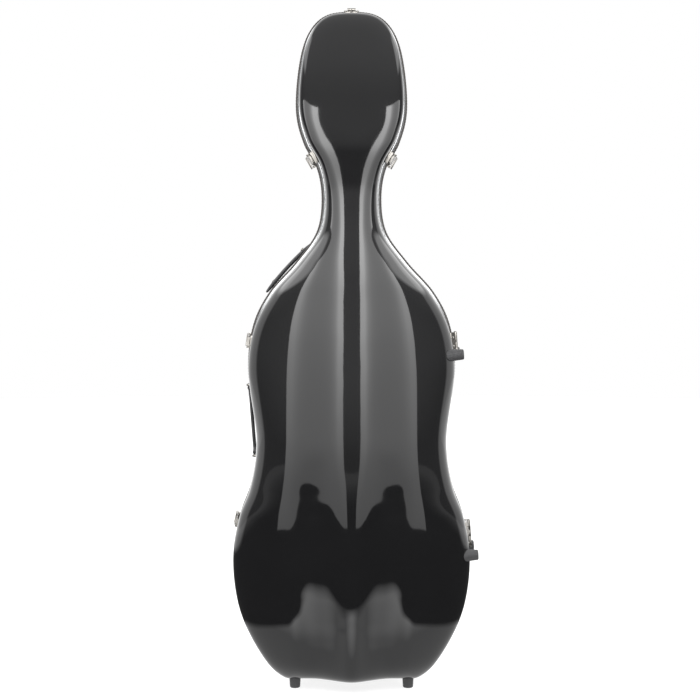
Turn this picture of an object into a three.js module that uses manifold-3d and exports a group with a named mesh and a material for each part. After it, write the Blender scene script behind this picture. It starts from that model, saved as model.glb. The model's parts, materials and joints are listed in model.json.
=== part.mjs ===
// Cello hard case: two moulded shells, hinged along the right side and latched round the rest.
// Millimetres, Z up. x = 0 is the middle of the case and y = 0 the seam between the shells.
// The lid lies toward -Y, the back shell toward +Y, and z = 0 is the floor under the feet.

import * as THREE from 'three';
import { mergeVertices } from 'three/addons/utils/BufferGeometryUtils.js';
import Module from 'manifold-3d';

const wasm = await Module();
wasm.setup();

// Outline over the edge bands: widths across, and heights above the floor
const topHeight = 1335;
const headWidth = 220;
const headDrop = 195;
const headHeight = topHeight - headDrop;
const neckWidth = 119;
const neckDrop = 367;
const neckHeight = topHeight - neckDrop;
const upperWidth = 412;
const upperHeight = 636;
const waistWidth = 379;
const waistHeight = 490;
const lowerWidth = 470;
const lowerHeight = 262;
const floorWidth = 286;
const floorHeight = 19;

// Shares of the way from one of those places to the next, across and down
const crownShares = [[0.42, 0.03], [0.66, 0.125], [0.87, 0.35]];
const throatShares = [[0.3, 0.37], [0.83, 0.67]];
const shoulderShares = [[0.065, 0.195], [0.35, 0.376], [0.71, 0.557], [0.92, 0.74]];
const waistShares = [[0.25, 0.385], [0.71, 0.64]];
const bottomShares = [[0.09, 0.36], [0.3, 0.59], [0.66, 0.83], [0.9, 0.94]];
const floorRunShares = [0.9, 0.8];

// Walls, clearances and the station spacing along the outline
const gap = 0.3;
const wall = 3;
const liningThickness = 8;
const stepLimit = 66;
const turnLimit = THREE.MathUtils.degToRad(16);
const sampleCount = 480;
const mergeReach = 0.001;
const overrun = 6;
const roundSteps = 4;
const pinSides = 8;
const knuckleSides = 12;
const footSides = 16;
const quarterTurn = Math.PI / 2;

// Spine that the shells' surfaces run in to, along the middle of the case
const spineBottom = 230;
const spineTopDrop = 100;
const spineTop = topHeight - spineTopDrop;

// Depths of the shells from the seam
const collarDepth = 15;
const lidCrownBottom = 130;
const lidCrownBridge = 150;
const bridgeHeight = 425;
const lidCrownShoulder = 113;
const shoulderShare = 0.464;
const shoulderHeight = THREE.MathUtils.lerp(upperHeight, neckHeight, shoulderShare);
const lidCrownNeck = 84;
const lidCrownHead = 91;
const faceDrop = 265;
const lidCrownBrow = 79;
const browDrop = 135;
const lidCrownTop = 52;
const backDepthBottom = 114;
const backDepthLower = 126;
const backDepthUpper = 122;
const backDepthShoulder = 104;
const backDepthNeck = 72;
const backDepthHead = 84;
const lidFlare = 7;
const flareFull = 250;
const flareEnd = 400;

// Camber across the lid, which flattens out into the face of the head
const camberRadius = 400;
const faceCamberRadius = 4000;
const flatStartDrop = 385;
const flatFullDrop = 215;

// Ridge up the lid's middle, the thighs beside it and the scoops that part them
const ridgeHalfWidth = 74;
const thighTop = 470;
const thighTopDepth = 149.2;
const thighHeights = [80, 130, 200, 300];
const thighDepths = [112, 126, 134, 143.5];
const thighBottomDepth = 88;
const scoopFootHalf = 64;
const scoopTopHalf = 75;
const scoopTop = 473;
const scoopHeights = [100, 160, 200, 243, 333];
const scoopHalfWidths = [38, 38, 38, 28, 8];
const scoopDepths = [12, 16, 15, 11, 3];
const scoopTipHalfWidth = 4;

// How round the sides are, from the collar to the face: 1 is an ellipse and 0 a box
const lidRoundBottomShare = 0.31;
const lidRoundWaistShare = 0.36;
const lidRoundUpperShare = 0.47;
const lidRoundShoulderShare = 0.5;
const lidRoundNeckShare = 0.31;
const lidRoundHeadShare = 0.29;
const backRoundShare = 0.64;

// Edge bands, sizes outward from the shell wall and depths from the seam
const bandProud = 8.5;
const bandDepth = 16;
const beadProud = 4.5;
const beadDepth = 8;
const lidBandDepth = 14;
const bandBevel = 1;
const lipThickness = 1.6;
const seamGap = 0.4;
const lidEdge = 2.5;
const backEdge = 5;
const flangeThickness = 2.1;
const sealWidth = 5;
const ribPitch = 7;
const ribDepth = 0.9;
const rimDepth = 7;

// Materials
const glossBlack = new THREE.MeshStandardMaterial({ color: 0x0b0b0c, roughness: 0.12, metalness: 0 });
const brightMetal = new THREE.MeshStandardMaterial({ color: 0xc4c6c8, roughness: 0.25, metalness: 1 });
const darkRubber = new THREE.MeshStandardMaterial({ color: 0x2b2b2d, roughness: 0.7, metalness: 0 });
const bandRubber = new THREE.MeshStandardMaterial({ color: 0x3a3a3c, roughness: 0.55, metalness: 0 });
const plush = new THREE.MeshStandardMaterial({ color: 0x2a2b31, roughness: 0.95, metalness: 0 });
const webbing = new THREE.MeshStandardMaterial({ color: 0x17171a, roughness: 0.9, metalness: 0 });
const blackPlastic = new THREE.MeshStandardMaterial({ color: 0x141415, roughness: 0.45, metalness: 0 });

// Closed bodies

function facingOut(geometry) {
  const place = geometry.getAttribute('position');
  const index = geometry.getIndex();
  const [a, b, c] = [new THREE.Vector3(), new THREE.Vector3(), new THREE.Vector3()];
  const kept = [];
  let volume = 0;
  for (let start = 0; start < index.count; start += 3) {
    const corners = [index.getX(start), index.getX(start + 1), index.getX(start + 2)];
    if (new Set(corners).size === 3) {
      kept.push(corners);
      a.fromBufferAttribute(place, corners[0]);
      b.fromBufferAttribute(place, corners[1]);
      c.fromBufferAttribute(place, corners[2]);
      volume += a.dot(b.cross(c));
    }
  }
  if (volume < 0) {
    kept.forEach((corners) => corners.reverse());
  }
  geometry.setIndex(kept.flat());
  return geometry;
}

// Rings of points joined one to the next; a ring that closes on itself shuts the body.
// The facets' diagonals mirror about the middle, and nested skins share them: the first
// rows of a body may run the other way, from the spine out to the edge.
function closedBody(rings, turnedRows = 0) {
  const count = rings[0].length;
  const index = [];
  for (let row = 0; row < rings.length - 1; row += 1) {
    const near = row * count;
    const far = near + count;
    for (let column = 0; column < count; column += 1) {
      const next = (column + 1) % count;
      if ((column < count / 2) === (row < turnedRows)) {
        index.push(near + column, near + next, far + next);
        index.push(near + column, far + next, far + column);
      } else {
        index.push(near + column, near + next, far + column);
        index.push(near + next, far + next, far + column);
      }
    }
  }
  const corners = rings.flat().flatMap((point) => point.toArray());
  const loose = new THREE.BufferGeometry();
  loose.setAttribute('position', new THREE.Float32BufferAttribute(corners, 3));
  loose.setIndex(index);
  return facingOut(mergeVertices(loose, mergeReach));
}

function solidOf(geometry) {
  const bare = geometry.clone();
  bare.deleteAttribute('normal');
  bare.deleteAttribute('uv');
  const merged = facingOut(mergeVertices(bare, mergeReach));
  return new wasm.Manifold(new wasm.Mesh({
    numProp: 3,
    vertProperties: new Float32Array(merged.getAttribute('position').array),
    triVerts: new Uint32Array(merged.getIndex().array),
  }));
}

function geometryOf(solid) {
  const mesh = solid.getMesh();
  const geometry = new THREE.BufferGeometry();
  geometry.setAttribute('position', new THREE.BufferAttribute(new Float32Array(mesh.vertProperties), 3));
  geometry.setIndex(new THREE.BufferAttribute(new Uint32Array(mesh.triVerts), 1));
  return geometry;
}

function join(first, ...others) {
  return geometryOf(others.reduce((solid, other) => solid.add(solidOf(other)), solidOf(first)));
}

function cut(first, ...others) {
  return geometryOf(others.reduce((solid, other) => solid.subtract(solidOf(other)), solidOf(first)));
}

// Cuts, or keeps, a piece in its own place by solids that stand in the case's place
function seated(piece, place, cutters) {
  const moved = piece.clone().applyMatrix4(place);
  return cut(moved, ...cutters).applyMatrix4(place.clone().invert());
}

function kept(piece, space) {
  return geometryOf(solidOf(piece).intersect(solidOf(space)));
}

// Outline stations, each with its place and its outward normal

function between(from, to, shares) {
  return shares.map(([across, down]) => new THREE.Vector3(
    THREE.MathUtils.lerp(from.x, to.x, across), 0, THREE.MathUtils.lerp(from.z, to.z, down)));
}

function outlineCurve() {
  const mark = (width, height) => new THREE.Vector3(width / 2, 0, height);
  const top = mark(0, topHeight);
  const head = mark(headWidth, headHeight);
  const neck = mark(neckWidth, neckHeight);
  const upper = mark(upperWidth, upperHeight);
  const waist = mark(waistWidth, waistHeight);
  const lower = mark(lowerWidth, lowerHeight);
  const corner = mark(floorWidth, floorHeight);
  const side = [
    ...between(top, head, crownShares), head,
    ...between(head, neck, throatShares), neck,
    ...between(neck, upper, shoulderShares), upper, waist,
    ...between(waist, lower, waistShares), lower,
    ...between(lower, corner, bottomShares),
    ...floorRunShares.map((share) => mark(floorWidth * share, floorHeight)),
  ];
  const mirrored = side.map((point) => new THREE.Vector3(-point.x, 0, point.z)).reverse();
  return new THREE.CatmullRomCurve3([top, ...side, mark(0, floorHeight), ...mirrored], true, 'centripetal');
}

const outline = outlineCurve();

function sampleAt(share) {
  const point = outline.getPoint(share);
  const tangent = outline.getTangent(share);
  return { x: point.x, z: point.z, nx: -tangent.z, nz: tangent.x };
}

const samples = Array.from({ length: sampleCount + 1 }, (_, step) => sampleAt(step / (2 * sampleCount)));

// Close together where the outline turns, further apart where it runs straight
function stationsOf(line) {
  const chosen = [line[0]];
  let turned = 0;
  let run = 0;
  for (let step = 1; step < line.length - 1; step += 1) {
    const [here, last] = [line[step], line[step - 1]];
    turned += Math.abs(Math.asin(THREE.MathUtils.clamp(here.nx * last.nz - here.nz * last.nx, -1, 1)));
    run += Math.hypot(here.x - last.x, here.z - last.z);
    if (turned > turnLimit || run > stepLimit) {
      chosen.push(here);
      turned = 0;
      run = 0;
    }
  }
  const mirrored = chosen.slice(1).map((place) => ({ ...place, x: -place.x, nx: -place.nx })).reverse();
  return [...chosen, line[line.length - 1], ...mirrored];
}

const stations = stationsOf(samples);

// Place on the shell wall at a height, on one side of the case
function wallPlace(side, height) {
  const found = samples.find((sample) => sample.z <= height);
  return {
    x: side * (found.x - found.nx * bandProud),
    z: found.z - found.nz * bandProud,
    nx: side * found.nx,
    nz: found.nz,
  };
}

// Axes of a place: x along the seam, y toward the back, z straight out of the wall
function matrixAt(x, y, z, nx, nz) {
  const along = new THREE.Vector3(nz, 0, -nx);
  const back = new THREE.Vector3(0, 1, 0);
  const out = new THREE.Vector3(nx, 0, nz);
  return new THREE.Matrix4().makeBasis(along, back, out).setPosition(x, y, z);
}

function wallMatrix(side, height, depth = 0) {
  const place = wallPlace(side, height);
  return matrixAt(place.x, depth, place.z, place.nx, place.nz);
}

// Axis line through two places that stand off the wall
function axisLine(side, lowHeight, highHeight, outward) {
  const ends = [lowHeight, highHeight].map((height) => {
    const place = wallPlace(side, height);
    return new THREE.Vector3(place.x + place.nx * outward, 0, place.z + place.nz * outward);
  });
  const up = ends[1].clone().sub(ends[0]).normalize();
  return {
    at: (share, depth) => {
      const point = ends[0].clone().lerp(ends[1], share);
      return matrixAt(point.x, depth, point.z, side * up.z, -side * up.x);
    },
    length: ends[0].distanceTo(ends[1]),
  };
}

// Depth that follows a smooth line through marks of height and value
function heightCurve(marks) {
  const last = marks.length - 1;
  const slope = (spot) => {
    const before = marks[Math.max(spot - 1, 0)];
    const after = marks[Math.min(spot + 1, last)];
    return (after[1] - before[1]) / (after[0] - before[0]);
  };
  return (height) => {
    const above = marks.findIndex((mark) => mark[0] > height);
    const high = above < 0 ? last : Math.max(above, 1);
    const low = high - 1;
    const span = marks[high][0] - marks[low][0];
    const t = THREE.MathUtils.clamp((height - marks[low][0]) / span, 0, 1);
    const rise = t * t * (3 - 2 * t);
    const leave = t * (1 - t) * (1 - t) * span * slope(low);
    const arrive = t * t * (t - 1) * span * slope(high);
    return THREE.MathUtils.lerp(marks[low][1], marks[high][1], rise) + leave + arrive;
  };
}

// The two shells' forms

const lidCrown = heightCurve([
  [floorHeight, lidCrownBottom], [bridgeHeight, lidCrownBridge], [shoulderHeight, lidCrownShoulder],
  [neckHeight, lidCrownNeck], [topHeight - faceDrop, lidCrownHead], [topHeight - browDrop, lidCrownBrow],
  [topHeight, lidCrownTop],
]);

const lidThigh = heightCurve([
  [floorHeight, thighBottomDepth], ...thighHeights.map((height, spot) => [height, thighDepths[spot]]),
  [thighTop, thighTopDepth],
]);

const scoopHalfWidth = heightCurve([
  ...scoopHeights.map((height, spot) => [height, scoopHalfWidths[spot]]), [scoopTop, scoopTipHalfWidth],
]);

const scoopDepth = heightCurve([
  [floorHeight, 0], ...scoopHeights.map((height, spot) => [height, scoopDepths[spot]]), [scoopTop, 0],
]);

const lidRound = heightCurve([
  [floorHeight, lidRoundBottomShare], [waistHeight, lidRoundWaistShare], [upperHeight, lidRoundUpperShare],
  [shoulderHeight, lidRoundShoulderShare], [neckHeight, lidRoundNeckShare], [headHeight, lidRoundHeadShare],
  [topHeight, lidRoundHeadShare],
]);

const backCrown = heightCurve([
  [floorHeight, backDepthBottom], [lowerHeight, backDepthLower], [upperHeight, backDepthUpper],
  [shoulderHeight, backDepthShoulder], [neckHeight, backDepthNeck], [headHeight, backDepthHead],
  [topHeight, backDepthHead],
]);

// Swell that falls from 1 in its middle to 0 at its edge
function bell(share) {
  return Math.abs(share) < 1 ? Math.cos(share * quarterTurn) ** 2 : 0;
}

// A cambered arch whose crown narrows to a ridge between two scoops toward the bottom
function lidDepth(x, z) {
  const crown = lidCrown(z);
  const thigh = z < thighTop ? lidThigh(z) : crown;
  const flatness = THREE.MathUtils.smoothstep(z, topHeight - flatStartDrop, topHeight - flatFullDrop);
  const camber = THREE.MathUtils.lerp(1 / camberRadius, 1 / faceCamberRadius, flatness);
  const scoopMiddle = THREE.MathUtils.mapLinear(z, floorHeight, scoopTop, scoopFootHalf, scoopTopHalf);
  const scoop = z < scoopTop ? scoopDepth(z) * bell((Math.abs(x) - scoopMiddle) / scoopHalfWidth(z)) : 0;
  return THREE.MathUtils.lerp(thigh, crown, bell(x / ridgeHalfWidth)) - (x * x * camber) / 2 - scoop;
}

const lid = {
  side: -1,
  depth: lidDepth,
  flare: (z) => lidFlare * (1 - THREE.MathUtils.smoothstep(z, flareFull, flareEnd)),
  round: lidRound,
};

const back = {
  side: 1,
  depth: (x, z) => backCrown(z),
  flare: () => 0,
  round: () => backRoundShare,
};

// Courses from the collar to the spine, as shares of the quarter turn between them
const lidCourseShares = [0.2, 0.36, 0.46, 0.54, 0.63, 0.72, 0.81, 0.9, 1];
const backCourseShares = [0.22, 0.42, 0.58, 0.78, 1];
const lidLiningCourseShares = lidCourseShares.slice(1);
const backLiningCourseShares = backCourseShares.slice(1);

function spineHeight(z) {
  const lowEnd = 2 * spineBottom - floorHeight;
  const highEnd = 2 * spineTop - topHeight;
  if (z < lowEnd) {
    return spineBottom + (lowEnd - spineBottom) * ((z - floorHeight) / (lowEnd - floorHeight)) ** 2;
  }
  if (z > highEnd) {
    return spineTop - (spineTop - highEnd) * ((topHeight - z) / (topHeight - highEnd)) ** 2;
  }
  return z;
}

function skinPoint(half, place, inset, share) {
  const power = 2 / half.round(place.z);
  const across = Math.max(Math.cos(share * quarterTurn), 0);
  const up = Math.sin(share * quarterTurn);
  const size = (across ** power + up ** power) ** (1 / power);
  const inward = 1 - across / size;
  const outward = half.flare(place.z) * Math.sin(Math.PI * Math.sqrt(share)) - bandProud - inset;
  const x = (place.x + place.nx * outward) * (1 - inward);
  const z = THREE.MathUtils.lerp(place.z + place.nz * outward, spineHeight(place.z), inward);
  const depth = collarDepth + (half.depth(x, z) - inset - collarDepth) * (up / size);
  return new THREE.Vector3(x, half.side * depth, z);
}

// Flat ring at one depth, moved in from the shell wall
function edgeRing(half, inset, depth) {
  const inward = bandProud + inset;
  return stations.map((place) => new THREE.Vector3(
    place.x - place.nx * inward, half.side * depth, place.z - place.nz * inward));
}

function skin(half, inset, edge, courseShares) {
  return [
    edgeRing(half, inset, edge),
    edgeRing(half, inset, collarDepth),
    ...courseShares.map((share) => stations.map((place) => skinPoint(half, place, inset, share))),
  ];
}

function shellBody(half, outer, inner, edge, courseShares) {
  const outside = skin(half, outer, edge, courseShares).reverse();
  return closedBody([...outside, ...skin(half, inner, edge, courseShares)], outside.length - 1);
}

// Solid block that fills a skin up to a flat face at the edge
function filledSkin(half, inset, edge, courseShares) {
  const spine = stations.map((place) => new THREE.Vector3(0, half.side * edge, spineHeight(place.z)));
  const outside = skin(half, inset, edge, courseShares).reverse();
  return closedBody([...outside, spine], outside.length - 1);
}

// Ring round the whole seam with one section, given as outward sizes and depths
function edgeBand(side, section) {
  const rings = section.map(([outward, depth]) => stations.map((place) => new THREE.Vector3(
    place.x + place.nx * (outward - bandProud), side * depth, place.z + place.nz * (outward - bandProud))));
  return closedBody([...rings, rings[0]]);
}

const lidForm = filledSkin(lid, -gap, 0, lidCourseShares);
const backForm = filledSkin(back, -gap, 0, backCourseShares);
const lidBandForm = edgeBand(lid.side, [
  [-wall, 0], [beadProud + gap, 0], [beadProud + gap, lidBandDepth + gap], [-wall, lidBandDepth + gap]]);
const backBandForm = edgeBand(back.side, [
  [-wall, 0], [bandProud + gap, 0], [bandProud + gap, bandDepth + gap], [-wall, bandDepth + gap]]);
const liningOuter = wall + gap;
const liningInner = liningOuter + liningThickness;
const lidSpace = filledSkin(lid, liningInner + 2 * gap, rimDepth, lidLiningCourseShares);
const backSpace = filledSkin(back, liningInner + 2 * gap, rimDepth, backLiningCourseShares);

// Simple shapes in a place's own axes

function axesToPlace(geometry) {
  const along = new THREE.Vector3(1, 0, 0);
  const backward = new THREE.Vector3(0, 1, 0);
  const out = new THREE.Vector3(0, 0, 1);
  return geometry.applyMatrix4(new THREE.Matrix4().makeBasis(backward, out, along));
}

// Outline in depth and outward sizes, drawn out along the seam
function slab(shape, width, middle = 0) {
  const geometry = new THREE.ExtrudeGeometry(shape, {
    depth: width, bevelEnabled: false, curveSegments: roundSteps,
  });
  geometry.translate(0, 0, middle - width / 2);
  return axesToPlace(geometry);
}

function polygon(points) {
  return new THREE.Shape(points.map(([across, up]) => new THREE.Vector2(across, up)));
}

function discShape(radius) {
  return new THREE.Shape().absarc(0, 0, radius, 0, 2 * Math.PI, false);
}

function rod(radius, length, middle = 0, sides = pinSides) {
  const geometry = new THREE.CylinderGeometry(radius, radius, length, sides);
  geometry.rotateZ(quarterTurn);
  return geometry.translate(middle, 0, 0);
}

// Round section swept along a flat line, with a radius outward and one across at each point
function sweep(points, radii, sides) {
  const turnAt = (spot) => {
    const before = points[Math.max(spot - 1, 0)];
    const after = points[Math.min(spot + 1, points.length - 1)];
    return after.clone().sub(before).normalize();
  };
  const out = new THREE.Vector3(0, 0, 1);
  const rings = points.map((point, spot) => {
    const across = new THREE.Vector3().crossVectors(out, turnAt(spot));
    return Array.from({ length: sides }, (_, step) => {
      const angle = (2 * Math.PI * step) / sides;
      return point.clone()
        .addScaledVector(out, Math.sin(angle) * radii[spot][0])
        .addScaledVector(across, Math.cos(angle) * radii[spot][1]);
    });
  });
  const capOf = (point) => Array.from({ length: sides }, () => point.clone());
  return closedBody([capOf(points[0]), ...rings, capOf(points[points.length - 1])]);
}

const caseGroup = new THREE.Group();

function addPiece(name, geometry, material, parent = caseGroup) {
  const mesh = new THREE.Mesh(geometry, material.clone());
  mesh.name = name;
  parent.add(mesh);
  return mesh;
}

function addPlace(matrix) {
  const place = new THREE.Group();
  matrix.decompose(place.position, place.quaternion, place.scale);
  caseGroup.add(place);
  return place;
}

// Shells, edge bands, seal and linings

function addShells() {
  addPiece('lid_shell', shellBody(lid, 0, wall, lidEdge, lidCourseShares), glossBlack);
  addPiece('back_shell', shellBody(back, 0, wall, backEdge, backCourseShares), glossBlack);
  addPiece('lid_lining', shellBody(lid, liningOuter, liningInner, rimDepth, lidLiningCourseShares), plush);
  addPiece('back_lining', shellBody(back, liningOuter, liningInner, rimDepth, backLiningCourseShares), plush);
}

function addBands() {
  const lidFlange = lidEdge - gap;
  addPiece('lid_edge_band', edgeBand(lid.side, [
    [-wall, seamGap], [beadProud - bandBevel, seamGap], [beadProud, seamGap + bandBevel],
    [beadProud, beadDepth - bandBevel], [beadProud - bandBevel, beadDepth],
    [gap + lipThickness, lidBandDepth], [gap, lidBandDepth], [gap, lidFlange], [-wall, lidFlange],
  ]), brightMetal);
  const backFlange = backEdge - gap;
  const sealSeat = backFlange - flangeThickness;
  const sealOut = sealWidth - wall;
  addPiece('back_edge_band', edgeBand(back.side, [
    [-wall, backFlange], [-wall, sealSeat], [sealOut + gap, sealSeat], [sealOut + gap, seamGap],
    [bandProud - bandBevel, seamGap], [bandProud, seamGap + bandBevel],
    [bandProud, ribPitch - ribDepth], [bandProud - ribDepth, ribPitch], [bandProud, ribPitch + ribDepth],
    [bandProud, bandDepth - bandBevel], [bandProud - bandBevel, bandDepth],
    [gap, bandDepth], [gap, backFlange],
  ]), bandRubber);
  addPiece('seam_seal', edgeBand(back.side, [
    [-wall, sealSeat - gap], [-wall, seamGap], [sealOut - sealWidth / 2, gap - seamGap],
    [sealOut, seamGap], [sealOut, sealSeat - gap],
  ]), darkRubber);
}

// Draw latches

const latchWidth = 30;
const latchPlateLength = 34;
const plateThickness = 2;
const plateStandoff = 1;
const earThickness = 2;
const earRadius = 4;
const pinRadius = 1.5;
const pivotBack = 6;
const pivotRise = 2;
const leverEye = 3.2;
const leverCheek = 2.2;
const leverRise = 6.2;
const leverPlate = 2;
const leverPlateStart = 14.8;
const leverLength = 29;
const leverTipRise = 2.2;
const leverTipRun = 4;
const clawArm = 8;
const clawDrop = 1;
const clawWidth = 16;
const clawThickness = 1.8;
const clawEye = 3;
const clawLip = 2;
const clawPinClearance = 0.4;
const clawBandClearance = 1.1;
const strikeClearance = 0.8;
const strikeWidth = 24;
const strikeLength = 24;
const strikeRidge = 2.8;

const neckLatchDrop = 289;
const upperLatchHeight = 688;
const lowerLatchHeight = 329;

const pivotDepth = bandDepth + pivotBack;
const pivotOut = bandProud + pivotRise;
const latchPlaces = [
  { name: 'top', side: 1, height: topHeight },
  { name: 'neck_left', side: -1, height: topHeight - neckLatchDrop },
  { name: 'neck_right', side: 1, height: topHeight - neckLatchDrop },
  { name: 'upper_left', side: -1, height: upperLatchHeight },
  { name: 'lower_left', side: -1, height: lowerLatchHeight },
];

function latchPlate(place) {
  const start = bandDepth + plateStandoff;
  const floor = slab(polygon([
    [start, -overrun], [start + latchPlateLength, -overrun],
    [start + latchPlateLength, plateThickness + gap], [start, plateThickness + gap],
  ]), latchWidth);
  const ear = new THREE.Shape();
  ear.moveTo(pivotDepth - earRadius, -overrun);
  ear.lineTo(pivotDepth + earRadius, -overrun);
  ear.lineTo(pivotDepth + earRadius, pivotOut);
  ear.absarc(pivotDepth, pivotOut, earRadius, 0, Math.PI, false);
  const earMiddle = (latchWidth - earThickness) / 2;
  const bore = rod(pinRadius + gap, latchWidth + overrun).translate(0, pivotDepth, pivotOut);
  const plate = join(floor, slab(ear, earThickness, earMiddle), slab(ear, earThickness, -earMiddle));
  return seated(cut(plate, bore), place, [backForm, backBandForm]);
}

function latchLever() {
  const inside = latchWidth - 2 * earThickness - 2 * gap;
  const cheekLow = -clawDrop - pinRadius - plateThickness / 2;
  const cheek = new THREE.Shape();
  cheek.absarc(0, 0, leverEye, quarterTurn, 3 * quarterTurn, false);
  cheek.lineTo(clawArm + leverEye, cheekLow);
  cheek.lineTo(leverLength, leverRise - leverPlate);
  cheek.lineTo(leverLength, leverRise);
  cheek.lineTo(clawArm, leverRise);
  const cheekMiddle = (inside - leverCheek) / 2;
  const grip = slab(polygon([
    [leverPlateStart, leverRise - leverPlate], [leverLength, leverRise - leverPlate],
    [leverLength + leverTipRun, leverRise - leverPlate + leverTipRise],
    [leverLength + leverTipRun - leverPlate / 2, leverRise + leverTipRise],
    [leverLength, leverRise], [leverPlateStart, leverRise],
  ]), inside);
  const pivot = rod(pinRadius, latchWidth);
  const clawPin = rod(pinRadius, inside - leverCheek).translate(0, clawArm, -clawDrop);
  return join(grip, slab(cheek, leverCheek, cheekMiddle), slab(cheek, leverCheek, -cheekMiddle), pivot, clawPin);
}

// Depths and rises of the claw from its own eye, over the lever's pin and the bands to the strike
function clawSizes() {
  const over = clawDrop + pinRadius + clawPinClearance;
  const low = clawDrop - pivotRise + clawBandClearance;
  const lipEnd = -(clawArm + pivotDepth) - lidBandDepth - plateStandoff - strikeRidge - 2 * gap;
  return { over, low, lipEnd };
}

function latchClaw() {
  const { over, low, lipEnd } = clawSizes();
  const pinBack = -clawArm;
  const bandBack = -(clawArm + pivotBack);
  const arm = new THREE.Shape();
  arm.moveTo(clawEye, 0);
  arm.lineTo(clawEye, over);
  arm.lineTo(clawEye - clawThickness, over + clawThickness);
  arm.lineTo(pinBack - pinRadius - gap, over + clawThickness);
  arm.lineTo(bandBack - clawThickness, low + clawThickness);
  arm.lineTo(lipEnd - clawThickness, low + clawThickness);
  arm.lineTo(lipEnd - clawThickness, low - clawLip);
  arm.lineTo(lipEnd, low - clawLip);
  arm.lineTo(lipEnd, low);
  arm.lineTo(bandBack, low);
  arm.lineTo(pinBack - pinRadius, over);
  arm.lineTo(-clawEye, over);
  arm.lineTo(-clawEye, 0);
  arm.absarc(0, 0, clawEye, Math.PI, 2 * Math.PI, false);
  return cut(slab(arm, clawWidth), rod(pinRadius + gap, clawWidth + overrun));
}

function latchStrike(place, height) {
  const { low } = clawSizes();
  const ridgeTop = pivotOut - clawDrop + low - clawLip - strikeClearance;
  const start = -(lidBandDepth + plateStandoff);
  const plateTop = Math.min(plateThickness + gap + lid.flare(height), ridgeTop);
  const strike = slab(polygon([
    [start, -overrun], [start, ridgeTop], [start - strikeRidge, ridgeTop], [start - strikeRidge, plateTop],
    [start - strikeLength, plateTop], [start - strikeLength, -overrun],
  ]), strikeWidth);
  return seated(strike, place, [lidForm]);
}

function addLatch({ name, side, height }) {
  const matrix = wallMatrix(side, height);
  const place = addPlace(matrix);
  addPiece(`latch_plate_${name}`, latchPlate(matrix), brightMetal, place);
  addPiece(`latch_strike_${name}`, latchStrike(matrix, height), brightMetal, place);
  const lever = addPiece(`latch_lever_${name}`, latchLever(), brightMetal, place);
  lever.position.set(0, pivotDepth, pivotOut);
  const claw = addPiece(`latch_claw_${name}`, latchClaw(), brightMetal, place);
  claw.position.set(0, pivotDepth + clawArm, pivotOut - clawDrop);
}

// Hinges on the right side

const hingeLowHeight = 306;
const hingeHighHeight = 679;
const hingeOut = 12.5;
const hingeLength = 52;
const hingeKnuckle = 19.5;
const knuckleRadius = 3.5;
const hingePin = 1.4;
const hingePinHead = 2.6;
const hingePinHeadLength = 1.2;
const leafReach = 40;
const leafSlope = 6;

// How far the axis has to move out for the pins' heads to clear the bands beside them
function missingClearance(line) {
  const reach = hingeLength / 2 + 2 * gap + hingePinHeadLength;
  const rises = [0, 1].flatMap((share) => {
    const toPlace = line.at(share, 0).invert();
    const points = samples.map((sample) => new THREE.Vector3(sample.x, 0, sample.z).applyMatrix4(toPlace));
    return points.filter((point) => Math.abs(point.x) < reach && point.z > -headWidth).map((point) => point.z);
  });
  return Math.max(0, Math.max(...rises) + hingePinHead + gap);
}

const closeLine = axisLine(1, hingeLowHeight, hingeHighHeight, hingeOut);
const hingeStand = hingeOut + missingClearance(closeLine);
const hingeLine = axisLine(1, hingeLowHeight, hingeHighHeight, hingeStand);

// Leaf drawn for the back shell; the lid's is mirrored in the seam
function hingeLeaf(lowOut, edgeDepth, knuckles) {
  const clear = knuckleRadius + 2 * gap;
  const outFace = -knuckleRadius / 2;
  const footFace = lowOut + plateThickness + gap - hingeStand;
  const leaf = slab(polygon([
    [clear, outFace], [clear, -hingeStand - overrun], [leafReach, -hingeStand - overrun],
    [leafReach, footFace], [edgeDepth + leafSlope, footFace], [edgeDepth, outFace],
  ]), hingeLength);
  const arm = polygon([[0, 0], [0, -knuckleRadius], [clear + gap, -knuckleRadius], [clear + gap, outFace]]);
  const barrels = knuckles.flatMap(([length, middle]) => [
    rod(knuckleRadius, length, middle, knuckleSides), slab(arm, length, middle)]);
  return cut(join(leaf, ...barrels), rod(hingePin + gap, hingeLength + overrun));
}

function addHinge(name, share, height) {
  const matrix = hingeLine.at(share, 0);
  const place = addPlace(matrix);
  const outerMiddle = (hingeLength - hingeKnuckle) / 2;
  const middleLength = hingeLength - 2 * hingeKnuckle - 2 * gap;
  const backLeaf = hingeLeaf(0, bandDepth + gap, [[hingeKnuckle, outerMiddle], [hingeKnuckle, -outerMiddle]]);
  const lidLeaf = hingeLeaf(lid.flare(height), lidBandDepth + gap, [[middleLength, 0]]);
  lidLeaf.applyMatrix4(new THREE.Matrix4().makeScale(1, -1, 1));
  addPiece(`hinge_back_leaf_${name}`, seated(backLeaf, matrix, [backForm, backBandForm]), brightMetal, place);
  addPiece(`hinge_lid_leaf_${name}`, seated(lidLeaf, matrix, [lidForm, lidBandForm]), brightMetal, place);
  const headMiddle = hingeLength / 2 + gap + hingePinHeadLength / 2;
  const pin = join(rod(hingePin, hingeLength + 2 * gap + hingePinHeadLength),
    rod(hingePinHead, hingePinHeadLength, headMiddle), rod(hingePinHead, hingePinHeadLength, -headMiddle));
  addPiece(`hinge_pin_${name}`, pin, brightMetal, place);
}

// Rubber feet

const footRadius = 12;
const footTipRadius = 10;
const footBevel = 1.2;
const sideFootOut = 22.5;
const sideFootDepth = 57;
const bottomFootX = 112;
const lidFootDepth = 32;
const backFootDepth = 66;

const lowerFootDrop = 37;
const upperFootDrop = 17;
const sideFootPlaces = [
  { name: 'lower', height: hingeLowHeight - lowerFootDrop },
  { name: 'upper', height: hingeHighHeight - upperFootDrop },
];

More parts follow.
